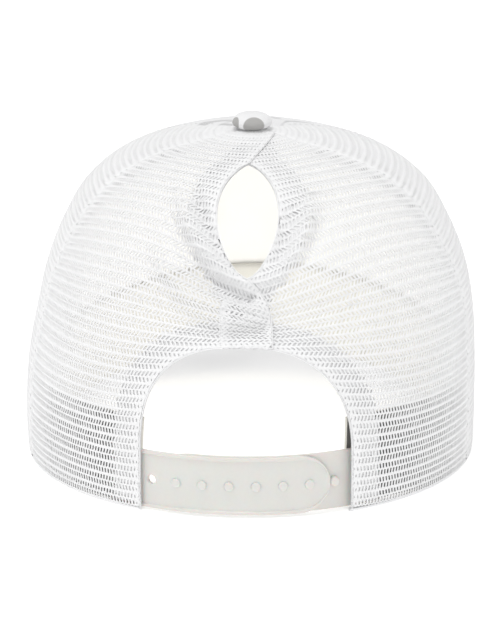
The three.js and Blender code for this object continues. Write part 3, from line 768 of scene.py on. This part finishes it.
class BackPanel:
    """Places on a back net panel by its flat pattern, with its free edge, folds and lap."""

    def __init__(self, side):
        self.side = side
        self.edge = free_edge(side)

    def at(self, across, climb):
        level = np.minimum(level_at_climb(climb - row_sag(across, climb)), TOP_LEVEL)
        width, back_seam = crown_section(level)[[1, 5]]
        own = across + back_seam / 2 * (width + CROWN_REACH) / 2
        level = np.minimum(level_at_climb(climb - row_sag(across, climb)
                                          - gather(self.side, own, climb)), TOP_LEVEL)
        near = np.exp(-((climb - GATHER_MIDDLE) / PULL_UP) ** 2)
        slack = STRETCH * STRETCH_ROUND * near * (np.tanh(own / STRETCH_ROUND) - 1)
        upright = (UPRIGHT_MIDDLE - (own - across)) * near * np.exp(-(own / UPRIGHT_ROUND) ** 2)
        return round_length(crown_section(level)[5] / 2, level, across + slack + upright), level

    def depth(self, angle, level):
        """Distance in from the free edge, and the nearest place that lies tucked into its fold."""
        width, lean = crown_section(level)[[1, 2]]
        own = width * np.sin(angle) + self.side * lean
        rise = np.interp(level, all_levels, all_climbs)
        depth, nearest = beyond_edge(self.edge, own, rise)
        safe = np.where(np.abs(depth) < 1e-7, 1e-7, depth)
        inward = (np.stack((own, rise), axis=1) - nearest) / safe[:, None]
        return depth, nearest + inward * EDGE_TUCK

    def inside(self, across, climb):
        angle, level = self.at(across, climb)
        depth, _ = self.depth(angle, level)
        back_seam = crown_section(level)[5]
        between = (angle > -back_seam) & (angle < back_seam)
        return between & (level < TOP_LEVEL) & (level > 0) & (depth > 0)

    def openness(self, across, climb):
        """How open the holes are: next to the seam and in the fold of the hem they are closed."""
        angle, level = self.at(across, climb)
        width, back_seam = crown_section(level)[[1, 5]]
        near = np.maximum((back_seam - angle) * width, 0)
        depth = np.maximum(self.depth(angle, level)[0], 0)
        beside_seam = BACK_SEAM_CLOSES * np.exp(-(near / SEAM_CLOSED) ** 2)
        beside_edge = EDGE_CLOSES * np.exp(-(depth / EDGE_CLOSED) ** 2)
        return (1 - beside_seam - beside_edge) * (1 - TOP_CLOSES * top_share(width))

    def surface(self, angle, level, sunk=0.0):
        """Points of the panel at its own angle and level, a distance inside its outer face."""
        points = crown_point(self.side * angle, level)
        width, back_seam = crown_section(level)[[1, 5]]
        near = (back_seam - angle) * width
        free = 1 - np.exp(-(near / FOLD_FREE) ** 2)
        lift = (fold_push(points) * free + lap_lift(self.side, points)
                + TOP_RAISE * top_share(width))
        return skin(self.side * angle, level, lift - seam_dip(near) - sunk)

    def on_edge(self, own, rise):
        """The panel's own angle and level of places across and up the back."""
        level = np.clip(level_at_climb(rise), 0, TOP_LEVEL)
        width, lean, back_seam = crown_section(level)[[1, 2, 5]]
        angle = np.arcsin(np.clip((own - self.side * lean) / width, -1, 1))
        return np.maximum(angle, -back_seam), level

    def place(self, across, climb, sunk=0.0):
        angle, level = self.at(across, climb)
        width, back_seam = crown_section(level)[[1, 5]]
        most = back_seam - SEAM_HALF / width
        angle = np.clip(angle, -most, most)
        depth, nearest = self.depth(angle, level)
        edge_angle, edge_level = self.on_edge(nearest[:, 0], nearest[:, 1])
        angle = np.where(depth < EDGE_TUCK, edge_angle, angle)
        level = np.clip(np.where(depth < EDGE_TUCK, edge_level, level), 0, TOP_LEVEL)
        calm = (np.exp(-(np.maximum(depth, 0) / CALM_BESIDE_EDGE) ** 2)
                + np.exp(-((back_seam - angle) * width / CALM_BESIDE_SEAM) ** 2))
        ridges = (RIDGE * np.cos(math.pi * climb / ROW_PITCH) * lively(climb)
                  * (1 - np.minimum(calm, 1)))
        return self.surface(angle, level, sunk - ridges)


HANDS = ((1, "left"), (-1, "right"))
back_panels = {}
for side, hand in HANDS:
    side_panel = SidePanel(side)
    side_net = finish_piece(knit(SIDE_NET, side_panel, side_panel.inside, side_panel.place),
                            f"side_net_{hand}_knit", [polyester_net], [f"side_net_{hand}"])
    thicken(side_net, THREAD_DEPTH * 0.6)
    back_panel = back_panels[side] = BackPanel(side)
    back_net = finish_piece(knit(BACK_NET, back_panel, back_panel.inside, back_panel.place),
                            f"back_net_{hand}_knit", [polyester_net], [f"back_net_{hand}"])
    thicken(back_net, THREAD_DEPTH)


# Hems: the free edge of each back panel is folded in once, so the net lies double beside it, and
# the fold is a thin rounded lip that is held by a row of stitches.
HEM_WIDTH = 0.0095
HEM_SINK = 0.00045
HEM_OPENING = 0.22
LIP_RADIUS = 0.00045
LIP_TURN = 220
LIP_START = 20
HEM_STITCH_INSET = 0.0012
HEM_STITCH_START = 0.003
HEM_STITCH_END = 0.012
HEM_SMOOTHING = 9
STITCH_LENGTH = 0.0021
STITCH_GAP = 0.0009
STITCH_WIDTH = 0.00021
STITCH_FORM = ((0, 0.02), (0.12, 0.75), (0.5, 1), (0.88, 0.75), (1, 0.02))


def lip(line, outwards, inwards, radius):
    """A rounded fold along a line: a half pipe that is open towards the cloth."""
    mesh = bmesh.new()
    bmesh.ops.create_grid(mesh, x_segments=len(line) - 1, y_segments=8, size=1)
    along, around = sheet_shares(mesh)
    index = np.round(along * (len(line) - 1)).astype(int)
    turn = (around * LIP_TURN - LIP_START) / 180 * math.pi
    ring = (outwards[index] * (np.cos(turn)[:, None] - 1)
            - inwards[index] * np.sin(turn)[:, None]) * radius
    lay_out(mesh, line[index] + ring, np.stack((along * 0.3, around * 0.002), axis=1))
    bmesh.ops.recalc_face_normals(mesh, faces=mesh.faces)
    return mesh


def unit(vectors):
    """The same directions, one long."""
    return vectors / np.maximum(np.linalg.norm(vectors, axis=1, keepdims=True), 1e-9)


def sew(mesh, line, outwards, length=STITCH_LENGTH, gap=STITCH_GAP, width=STITCH_WIDTH):
    """Adds a row of stitches along a line: small rounded threads that sink in at both ends."""
    walked = np.append(0, np.cumsum(np.linalg.norm(np.diff(line, axis=0), axis=1)))
    pitch = length + gap
    count = int(walked[-1] / pitch)
    stations = len(STITCH_FORM)
    made = bmesh.ops.create_grid(mesh, x_segments=count * stations - 1, y_segments=6,
                                 size=1)["verts"]
    flat = np.array([vertex.co for vertex in made])
    station = np.round((flat[:, 0] / 2 + 0.5) * (count * stations - 1)).astype(int)
    at = station // stations * pitch + np.array(STITCH_FORM)[station % stations, 0] * length
    thick = np.array(STITCH_FORM)[station % stations, 1] * width
    turn = flat[:, 1] * math.pi
    middle = np.stack([np.interp(at, walked, line[:, axis]) for axis in range(3)], axis=1)
    out = unit(np.stack([np.interp(at, walked, outwards[:, axis]) for axis in range(3)], axis=1))
    across = unit(np.cross(np.stack([np.interp(at, walked, np.gradient(line[:, axis]))
                                     for axis in range(3)], axis=1), out))
    ring = across * np.cos(turn)[:, None] + out * np.sin(turn)[:, None]
    for vertex, place in zip(made, middle + ring * thick[:, None]):
        vertex.co = place
    numbers = {vertex: number // stations for vertex, number in zip(made, station)}
    between = [face for face in {face for vertex in made for face in vertex.link_faces}
               if len({numbers[vertex] for vertex in face.verts}) > 1]
    bmesh.ops.delete(mesh, geom=between, context="FACES_ONLY")
    bmesh.ops.remove_doubles(mesh, verts=made, dist=0.000002)
    bmesh.ops.recalc_face_normals(mesh, faces=mesh.faces)


thread_paint = net_paint("sewing_thread", (0.9, 0.9, 0.895))

for side, hand in HANDS:
    panel = back_panels[side]

    def hem_inside(across, climb):
        angle, level = panel.at(across, climb)
        depth, _ = panel.depth(angle, level)
        return panel.inside(across, climb) & (depth < HEM_WIDTH)

    def hem_place(across, climb):
        return panel.place(across, climb, HEM_SINK)

    hem = finish_piece(
        knit(BACK_NET, panel, hem_inside, hem_place, (HOLE_PITCH * 0.45, ROW_PITCH * 0.5), -1,
             HEM_OPENING),
        f"hem_{hand}", [polyester_net],
    )
    thicken(hem, THREAD_DEPTH)

    edge_angle, edge_level = panel.on_edge(panel.edge[:, 0], panel.edge[:, 1])
    line = panel.surface(edge_angle, edge_level)
    outwards = crown_normal(side * edge_angle, edge_level)
    inwards = side * unit(np.cross(np.gradient(line, axis=0), outwards))
    finish_piece(lip(line, outwards, inwards, LIP_RADIUS), f"hem_fold_{hand}",
                 [polyester_net])

    run = unit(np.gradient(panel.edge, axis=0))
    from_edge = np.stack((run[:, 1], -run[:, 0]), axis=1) * (HEM_WIDTH - HEM_STITCH_INSET)
    stitched = panel.edge + from_edge
    stitched = stitched[(stitched[:, 1] > HEM_STITCH_START)
                        & (stitched[:, 1] < panel.edge[-1, 1] - HEM_STITCH_END)]
    evened = np.ones(HEM_SMOOTHING) / HEM_SMOOTHING
    smooth_run = np.stack([np.convolve(stitched[:, axis], evened, "valid") for axis in (0, 1)],
                          axis=1)
    stitch_angle, stitch_level = panel.on_edge(smooth_run[:, 0], smooth_run[:, 1])
    hem_stitches = bmesh.new()
    sew(hem_stitches, panel.surface(stitch_angle, stitch_level),
        crown_normal(side * stitch_angle, stitch_level))
    finish_piece(hem_stitches, f"hem_stitches_{hand}", [thread_paint])


# Rim: round the sides and the back the net is turned in over the sweatband and sewn down, which
# leaves a rolled edge a little under 2 mm thick with one row of stitches above it.
RIM_RADIUS = 0.0008
RIM_STITCH_HEIGHT = 0.0042
RIM_POINTS = 160

for side, hand in HANDS:
    edge_angle = math.asin(ARCH_HALF / HALF_WIDTH)
    rim_angle = side * np.linspace(edge_angle, front_seam_foot, RIM_POINTS)
    rim_low = rim_level(rim_angle)
    rim_line = crown_point(rim_angle, rim_low)
    rim_out = crown_normal(rim_angle, rim_low)
    rim_up = unit(crown_point(rim_angle, rim_low + 0.02) - rim_line)
    rim_line = rim_line + rim_up * RIM_RADIUS
    finish_piece(lip(rim_line, rim_out, rim_up, RIM_RADIUS), f"rim_fold_{hand}",
                 [polyester_net])
    rim_stitches = bmesh.new()
    stitch_level = level_at_height(front_rise(rim_line[:, 0], rim_line[:, 1]) + RIM_STITCH_HEIGHT)
    sew(rim_stitches, skin(rim_angle, stitch_level, np.zeros(RIM_POINTS)),
        crown_normal(rim_angle, stitch_level))
    finish_piece(rim_stitches, f"rim_stitches_{hand}", [thread_paint])


# Seams: each side seam is covered inside by white twill tape, and each is topstitched outside on
# both of its sides. The front seam holds the padded panel, so it has no tape.
TAPE_WIDTH = 0.012
TAPE_WALL = 0.001
TAPE_TOP_REACH = 0.03
TAPE_CURL = 0.0001
TOPSTITCH_OUT = 0.0021
TOPSTITCH_WIDTH = 0.00014
# Where up the crown the rows of stitches start and end, and how far above the rim they stay
SEAM_STITCH_FOOT = 0.02
SEAM_STITCH_TOP = 0.93
SEAM_STITCH_RISE = 0.01
SEAM_POINTS = 200
STRAP_BASE = 0.0011

twill_tape = cloth("twill_tape", (0.92, 0.92, 0.915), (0.8, 0.8, 0.79), 0.36, depth=0.0001)

for side, hand in HANDS:
    tape_mesh = bmesh.new()
    bmesh.ops.create_grid(tape_mesh, x_segments=8, y_segments=80, size=1)
    along, up = sheet_shares(tape_mesh)
    low = level_at_height(STRAP_BASE)
    high = np.interp(-TAPE_TOP_REACH, -crown_section(all_levels)[1], all_levels)
    level = low + (high - low) * up
    width, back_seam = crown_section(level)[[1, 5]]
    angle = side * (back_seam + (along - 0.5) * TAPE_WIDTH / width)
    edge_curl = TAPE_CURL * np.abs(along * 2 - 1) ** 4
    lay_out(tape_mesh, skin(angle, level, -NET_WALL - GAP + edge_curl),
            np.stack((along * TAPE_WIDTH, up * 0.16), axis=1))
    bmesh.ops.recalc_face_normals(tape_mesh, faces=tape_mesh.faces)
    face_outwards(tape_mesh)
    tape = finish_piece(tape_mesh, f"seam_tape_{hand}_twill", [twill_tape],
                        [f"seam_tape_{hand}"])
    thicken(tape, TAPE_WALL)

    seam_stitches = bmesh.new()
    seam_levels = np.linspace(SEAM_STITCH_FOOT, SEAM_STITCH_TOP, SEAM_POINTS)
    for seam_row in (5, 6):
        for off in (-TOPSTITCH_OUT, TOPSTITCH_OUT):
            width = crown_section(seam_levels)[1]
            angle = side * (crown_section(seam_levels)[seam_row] + off / width)
            level = np.maximum(seam_levels, rim_level(angle) + SEAM_STITCH_RISE)
            sew(seam_stitches, skin(angle, level, np.zeros(SEAM_POINTS)),
                crown_normal(angle, level), width=TOPSTITCH_WIDTH)
    finish_piece(seam_stitches, f"seam_stitches_{hand}", [thread_paint])


# Sweatband: brushed cotton, sewn in round the rim; round the back its face towards the net is
# painted near-black as painted shade, for the shade where the net lies close over it. It is open at
# the back, where it holds the ends of the snap strap against the net, and lies against the front's
# lining.
SWEATBAND_HEIGHT = 0.035
SWEATBAND_WALL = 0.0015
STRAP_WALL = 0.0015
OUTER_STRAP_INSET = NET_WALL + GAP
INNER_STRAP_INSET = OUTER_STRAP_INSET + STRAP_WALL + GAP
BAND_INSET = NET_WALL + GAP + TAPE_WALL + GAP
STRAP_HEIGHT = 0.0225
STRAP_TUCK = 0.05475
STRAP_POINTS = 401
BAND_START = math.radians(0.6)
# Past the strap's tucked end the band goes out to the net, and past the front seam to the lining
BAND_SETTLES_PAST = 0.05
BAND_SETTLES_OVER = 0.25
BAND_LEANS_OVER = 0.2
BAND_OFF_LINING = 0.0001
BAND_SLACK = 0.0002
BAND_RIPPLE = 0.00025
BAND_RIPPLES = 41
BAND_LENGTH = 0.57

brushed_cotton = cloth("brushed_cotton", (0.8, 0.78, 0.72), (0.66, 0.64, 0.58), 0.5,
                       roughness=0.95)
# Painted shade: near-black cloth for the sweatband's face towards the net round the back, standing
# in for the shade under the net.
band_painted_shade = cloth("band_painted_shade", (0.145, 0.142, 0.136), (0.1, 0.098, 0.093), 0.4,
                     roughness=0.95)

strap_level = float(level_at_height(STRAP_BASE + STRAP_HEIGHT / 2))
strap_turns = np.linspace(-1, 1, STRAP_POINTS)
strap_line = skin(strap_turns, np.full(STRAP_POINTS, strap_level), -OUTER_STRAP_INSET - STRAP_WALL)
strap_lengths = np.append(0, np.cumsum(np.linalg.norm(np.diff(strap_line, axis=0), axis=1)))
strap_lengths -= np.interp(crown_middle.x, strap_line[:, 0], strap_lengths)


def strap_angle(length):
    """The angle round the back at a length from the middle, along where the straps meet."""
    return np.interp(length, strap_lengths, strap_turns)


tuck_angle = strap_angle(STRAP_TUCK)
band_start = math.asin(ARCH_HALF / HALF_WIDTH) + BAND_START
band_mesh = bmesh.new()
bmesh.ops.create_grid(band_mesh, x_segments=220, y_segments=12, size=1)
along, up = sheet_shares(band_mesh)
band_angle = band_start + (2 * math.pi - 2 * band_start) * along
on_left = band_angle < math.pi
round_angle = np.where(on_left, band_angle, 2 * math.pi - band_angle)
behind_strap = np.where(on_left, OUTER_STRAP_INSET, INNER_STRAP_INSET) + STRAP_WALL + GAP
settled = eased(np.clip((round_angle - tuck_angle - BAND_SETTLES_PAST) / BAND_SETTLES_OVER, 0, 1))
against_lining = np.clip((round_angle - front_seam_foot) / BAND_LEANS_OVER, 0, 1)
band_inset = (behind_strap + (BAND_INSET - behind_strap) * settled
              + (FRONT_WALL + BAND_OFF_LINING - BAND_INSET) * against_lining)
foot = crown_point(band_angle, np.zeros_like(band_angle))
band_level = level_at_height(front_rise(foot[:, 0], foot[:, 1]) + GAP * 2 + SWEATBAND_HEIGHT * up)
ripple = BAND_RIPPLE * np.sin(band_angle * BAND_RIPPLES) * np.sin(math.pi * up)
band_out = ripple * (1 - against_lining) - band_inset - BAND_SLACK
band_places = skin(band_angle, band_level, band_out)
lay_out(band_mesh, band_places, np.stack((along * BAND_LENGTH, up * SWEATBAND_HEIGHT), axis=1))
bmesh.ops.recalc_face_normals(band_mesh, faces=band_mesh.faces)
face_outwards(band_mesh)
# Outer faces of the back half take the painted shade; those of the front half, against the lining,
# take the cream cotton.
for face in band_mesh.faces:
    face.material_index = int(face.calc_center_median().y < crown_middle.y)
sweatband = finish_piece(band_mesh, "sweatband_cotton", [band_painted_shade, brushed_cotton],
                         ["sweatband"])
thicken(sweatband, SWEATBAND_WALL, inside_paint=1)


# Snap strap: two bands of milky soft plastic, one from each side. The outer one has a raised edge,
# a rounded end and a row of round holes, and the inner one's pegs stand in them.
SNAP_PITCH = 0.01
SNAPS = [-0.0339 + SNAP_PITCH * number for number in range(7)]
HOLE_RADIUS = 0.00195
HOLE_BEVEL = 0.0014
PEG_RADIUS = 0.00183
PEG_ROOT = 0.0005
PEG_SHORT = 0.0011
PEG_ROUNDING = 0.0006
STRAP_COLUMN = 0.0025
STRAP_DISH = 0.00045
STRAP_DISH_HALF = 0.01
STRAP_DISH_START = 0.001
STRAP_ROUNDING = 0.0002
STRAP_END = 0.008
TIP_STEPS = (0, 0.0003, 0.0012, 0.003, 0.0055)
EDGE_ROWS = (-0.01125, -0.0107, -0.0101, -0.0098, -0.006, -0.003, 0,
             0.003, 0.006, 0.0098, 0.0101, 0.0107, 0.01125)

milky_plastic = bpy.data.materials.new("milky_plastic")
milky_plastic.use_nodes = True
plastic_tree = milky_plastic.node_tree
plastic_shader = plastic_tree.nodes["Principled BSDF"]
plastic_place = plastic_tree.nodes.new("ShaderNodeTexCoord")
plastic_fuzz = placed_group(plastic_tree, fuzz, Place=plastic_place.outputs["Object"],
                            Fine=900.0, Broad=60.0)
plastic_tree.links.new(
    mix_colour(plastic_tree, plastic_fuzz.outputs["Shade"],
               (0.64, 0.635, 0.605), (0.695, 0.69, 0.66)),
    plastic_shader.inputs["Base Color"])
plastic_bump = plastic_tree.nodes.new("ShaderNodeBump")
plastic_bump.inputs["Distance"].default_value = 0.00003
plastic_bump.inputs["Strength"].default_value = 0.4
plastic_tree.links.new(plastic_fuzz.outputs["Height"], plastic_bump.inputs["Height"])
plastic_tree.links.new(plastic_bump.outputs["Normal"], plastic_shader.inputs["Normal"])
plastic_shader.inputs["Roughness"].default_value = 0.36
plastic_shader.inputs["Subsurface Weight"].default_value = 0.3
plastic_shader.inputs["Subsurface Scale"].default_value = 0.002


def strap_half(side, end, holes, inset, dish):
    """A strap half from its tucked end to its rounded one, with its rim and holes."""
    first_hole = end + side * STRAP_END
    columns = [end + side * step for step in TIP_STEPS]
    place = first_hole
    while side * place < STRAP_TUCK - 0.001:
        columns.append(place)
        place += side * STRAP_COLUMN
    columns.append(side * STRAP_TUCK)
    columns = np.array(columns)
    mesh = bmesh.new()
    bmesh.ops.create_grid(mesh, x_segments=len(columns) - 1, y_segments=len(EDGE_ROWS) - 1, size=1)
    for vertex in mesh.verts:
        column = round((vertex.co.x + 1) / 2 * (len(columns) - 1))
        row = round((vertex.co.y + 1) / 2 * (len(EDGE_ROWS) - 1))
        vertex.co.x, vertex.co.y = columns[column], EDGE_ROWS[row]
    for hole in holes:
        centre = Vector((hole, 0, 0))
        middle = min(mesh.verts, key=lambda vertex: (vertex.co - centre).length)
        hub = bmesh.ops.bevel(mesh, geom=[middle], offset=HOLE_BEVEL, segments=1, profile=0.5,
                              affect="VERTICES", material=-1)["faces"]
        rim = [edge for face in hub for edge in face.edges]
        bmesh.ops.subdivide_edges(mesh, edges=rim, cuts=2)
        for vertex in [vertex for face in hub for vertex in face.verts]:
            vertex.co = centre + (vertex.co - centre).normalized() * HOLE_RADIUS
        bmesh.ops.delete(mesh, geom=hub, context="FACES_ONLY")
    mesh.verts.index_update()
    flat = np.array([vertex.co for vertex in mesh.verts])
    radius = STRAP_HEIGHT / 2
    left = np.clip(side * (flat[:, 0] - end), 0, radius)
    half = np.maximum(np.sqrt(radius**2 - (radius - left) ** 2), radius * 0.15)
    height = STRAP_BASE + radius + flat[:, 1] * half / radius
    angles = strap_angle(flat[:, 0])
    sunk = np.where((np.abs(flat[:, 1]) < STRAP_DISH_HALF) & (left > STRAP_DISH_START), dish, 0)
    lay_out(mesh, skin(angles, level_at_height(height), -inset - sunk), flat[:, :2])
    bmesh.ops.recalc_face_normals(mesh, faces=mesh.faces)
    face_outwards(mesh)
    return mesh


def soften(piece, width):
    """Rounds a moulded piece's edges and smooths its form."""
    rounding = piece.modifiers.new("rounding", "BEVEL")
    rounding.width = width
    rounding.segments = 2
    rounding.limit_method = "ANGLE"
    rounding.angle_limit = math.radians(50)
    smoothing = piece.modifiers.new("smoothing", "SUBSURF")
    smoothing.levels = 1
    smoothing.render_levels = 1


outer_holes = [*SNAPS[1:], SNAPS[-1] + SNAP_PITCH]
strap_outer = finish_piece(
    strap_half(1, SNAPS[1] - STRAP_END, outer_holes, OUTER_STRAP_INSET, STRAP_DISH),
    "strap_outer_band", [milky_plastic], ["strap_outer"])
thicken(strap_outer, STRAP_WALL)
soften(strap_outer, STRAP_ROUNDING)
strap_inner = finish_piece(
    strap_half(-1, SNAPS[-1] + STRAP_END, [], INNER_STRAP_INSET, 0.0),
    "strap_inner_band", [milky_plastic], ["strap_inner"])
thicken(strap_inner, STRAP_WALL)
soften(strap_inner, STRAP_ROUNDING)

peg_mesh = bmesh.new()
for snap in SNAPS:
    angle = np.array([strap_angle(snap)])
    out = Vector(crown_normal(angle, np.array([strap_level]))[0])
    foot = Vector(skin(angle, np.array([strap_level]), -INNER_STRAP_INSET - PEG_ROOT)[0])
    turn = out.to_track_quat("Z", "Y").to_matrix().to_4x4()
    tall = INNER_STRAP_INSET + PEG_ROOT - PEG_SHORT
    bmesh.ops.create_cone(peg_mesh, cap_ends=True, segments=24, radius1=PEG_RADIUS,
                          radius2=PEG_RADIUS, depth=tall,
                          matrix=Matrix.Translation(foot + out * tall / 2) @ turn)
    head = max((face for face in peg_mesh.faces if len(face.verts) == 24),
               key=lambda face: ((face.calc_center_median() - foot).dot(out)
                                 if (face.calc_center_median() - foot).length < 0.006 else -1))
    bmesh.ops.bevel(peg_mesh, geom=list(head.edges), offset=PEG_ROUNDING, segments=3, profile=0.5,
                    affect="EDGES", material=-1)
finish_piece(peg_mesh, "strap_pegs", [milky_plastic])


# Peak: a stiff board in the printed cotton, curved with the rim, with a rounded edge and rows of
# stitching that follow it.
PEAK_LENGTH = 0.068
PEAK_WALL = 0.0036
PEAK_STRAIGHT = 0.62
PEAK_POWER = 0.9
PEAK_FLATTENING = 0.3
PEAK_ROUNDING = 0.0012
PEAK_ROWS = 7
FIRST_ROW = 0.12
ROWS_SHARE = 0.83
PEAK_POINTS = 240

peak_reach = math.pi - front_seam_foot


def peak_point(across, out, lift):
    """Points of the peak: across it and out from the crown, both 0 to 1, and a lift."""
    turn = across * 2 - 1
    angle = math.pi - turn * peak_reach
    foot = crown_point(angle, np.zeros_like(angle))
    seat = skin(angle, level_at_height(front_rise(foot[:, 0], foot[:, 1]) + PEAK_WALL),
                np.full_like(angle, GAP))
    sweep = turn * math.pi / 2
    out_x = (PEAK_WIDTH / 2) * np.sign(turn) * np.abs(np.sin(sweep)) ** PEAK_POWER
    side_y = -CROWN_REACH * PEAK_STRAIGHT
    tip_reach = CROWN_REACH * (1 - PEAK_STRAIGHT) + PEAK_LENGTH
    out_y = side_y - tip_reach * np.cos(sweep) ** PEAK_POWER
    x = seat[:, 0] + (out_x + crown_middle.x - seat[:, 0]) * out
    y = seat[:, 1] + (out_y + crown_middle.y - seat[:, 1]) * out
    rise = front_rise(x, y) * (1 - PEAK_FLATTENING * out**2)
    return np.stack((x, y, rise + lift), axis=1)


peak_mesh = bmesh.new()
bmesh.ops.create_grid(peak_mesh, x_segments=96, y_segments=24, size=1)
along, up = sheet_shares(peak_mesh)
places = peak_point(along, up, np.full_like(up, PEAK_WALL))
lay_out(peak_mesh, places, places[:, :2])
bmesh.ops.recalc_face_normals(peak_mesh, faces=peak_mesh.faces)
if sum(face.normal.z for face in peak_mesh.faces) < 0:
    bmesh.ops.reverse_faces(peak_mesh, faces=peak_mesh.faces)
peak = finish_piece(peak_mesh, "peak_cloth", [printed_cotton], ["peak"])
thicken(peak, PEAK_WALL)
soften(peak, PEAK_ROUNDING)

peak_stitches = bmesh.new()
across = np.linspace(0.02, 0.98, PEAK_POINTS)
for number in range(PEAK_ROWS):
    out = np.full_like(across, FIRST_ROW + ROWS_SHARE * number / (PEAK_ROWS - 1))
    line = peak_point(across, out, np.full_like(across, PEAK_WALL))
    sew(peak_stitches, line, np.tile((0.0, 0.0, 1.0), (len(line), 1)))
finish_piece(peak_stitches, "peak_stitches", [thread_paint])


# Button: a pressed metal button under the printed cotton, gathered below its edge, on the point
# where all the panels meet.
BUTTON_RADIUS = 0.00775
BUTTON_TALL = 0.0059
BUTTON_LIFT = 0.0002
BUTTON_FOOT = 0.72
# The outline from foot to top, as shares of the radius and the height
BUTTON_OUTLINE = ((0.8, 0.02), (0.93, 0.12), (1.0, 0.32), (0.98, 0.48), (0.9, 0.68), (0.74, 0.84),
                  (0.5, 0.95), (0.25, 0.99), (0, 1))
# Grey patches of the print: the middle of each from the button's top, and its radius
BUTTON_PATCHES = (
    ((-0.001, 0.0078, -0.0045), 0.0046),
    ((0.0072, 0.004, -0.0035), 0.003),
)
PATCH_GREY = (0.42, 0.415, 0.405)
PATCH_SOFTNESS = 0.9

button_cotton = cloth("button_cotton", (0.86, 0.86, 0.865), (0.7, 0.7, 0.71), 0.42)
button_tree = button_cotton.node_tree
button_shader = button_tree.nodes["Principled BSDF"]
button_place = button_tree.nodes.new("ShaderNodeTexCoord")
button_tint = button_shader.inputs["Base Color"].links[0].from_socket
button_top = Vector((crown_middle.x, crown_middle.y, button_high.z))
for patch_middle, patch_radius in BUTTON_PATCHES:
    patch_away = button_tree.nodes.new("ShaderNodeVectorMath")
    patch_away.operation = "DISTANCE"
    button_tree.links.new(button_place.outputs["Object"], patch_away.inputs[0])
    patch_away.inputs[1].default_value = button_top + Vector(patch_middle)
    patch_edge = button_tree.nodes.new("ShaderNodeMapRange")
    patch_edge.inputs["From Min"].default_value = patch_radius
    patch_edge.inputs["From Max"].default_value = patch_radius * PATCH_SOFTNESS
    button_tree.links.new(patch_away.outputs["Value"], patch_edge.inputs["Value"])
    button_tint = mix_colour(button_tree, patch_edge.outputs["Result"], button_tint, PATCH_GREY)
button_tree.links.new(button_tint, button_shader.inputs["Base Color"])

button_seat = button_high.z - BUTTON_TALL + BUTTON_LIFT
button_mesh = bmesh.new()
start = [button_mesh.verts.new((BUTTON_RADIUS * BUTTON_FOOT, 0, -BUTTON_LIFT))]
start += [button_mesh.verts.new((BUTTON_RADIUS * out, 0, BUTTON_TALL * tall))
          for out, tall in BUTTON_OUTLINE]
edges = [button_mesh.edges.new(pair) for pair in zip(start[:-1], start[1:])]
bmesh.ops.spin(button_mesh, geom=[*start, *edges], cent=(0, 0, 0), axis=(0, 0, 1),
               angle=2 * math.pi, steps=40, use_merge=True)
bmesh.ops.remove_doubles(button_mesh, verts=button_mesh.verts, dist=0.00001)
bmesh.ops.recalc_face_normals(button_mesh, faces=button_mesh.faces)
flat = np.array([vertex.co for vertex in button_mesh.verts])
lay_out(button_mesh, flat + (crown_middle.x, crown_middle.y, button_seat), flat[:, :2])
finish_piece(button_mesh, "button_cover", [button_cotton], ["button"])
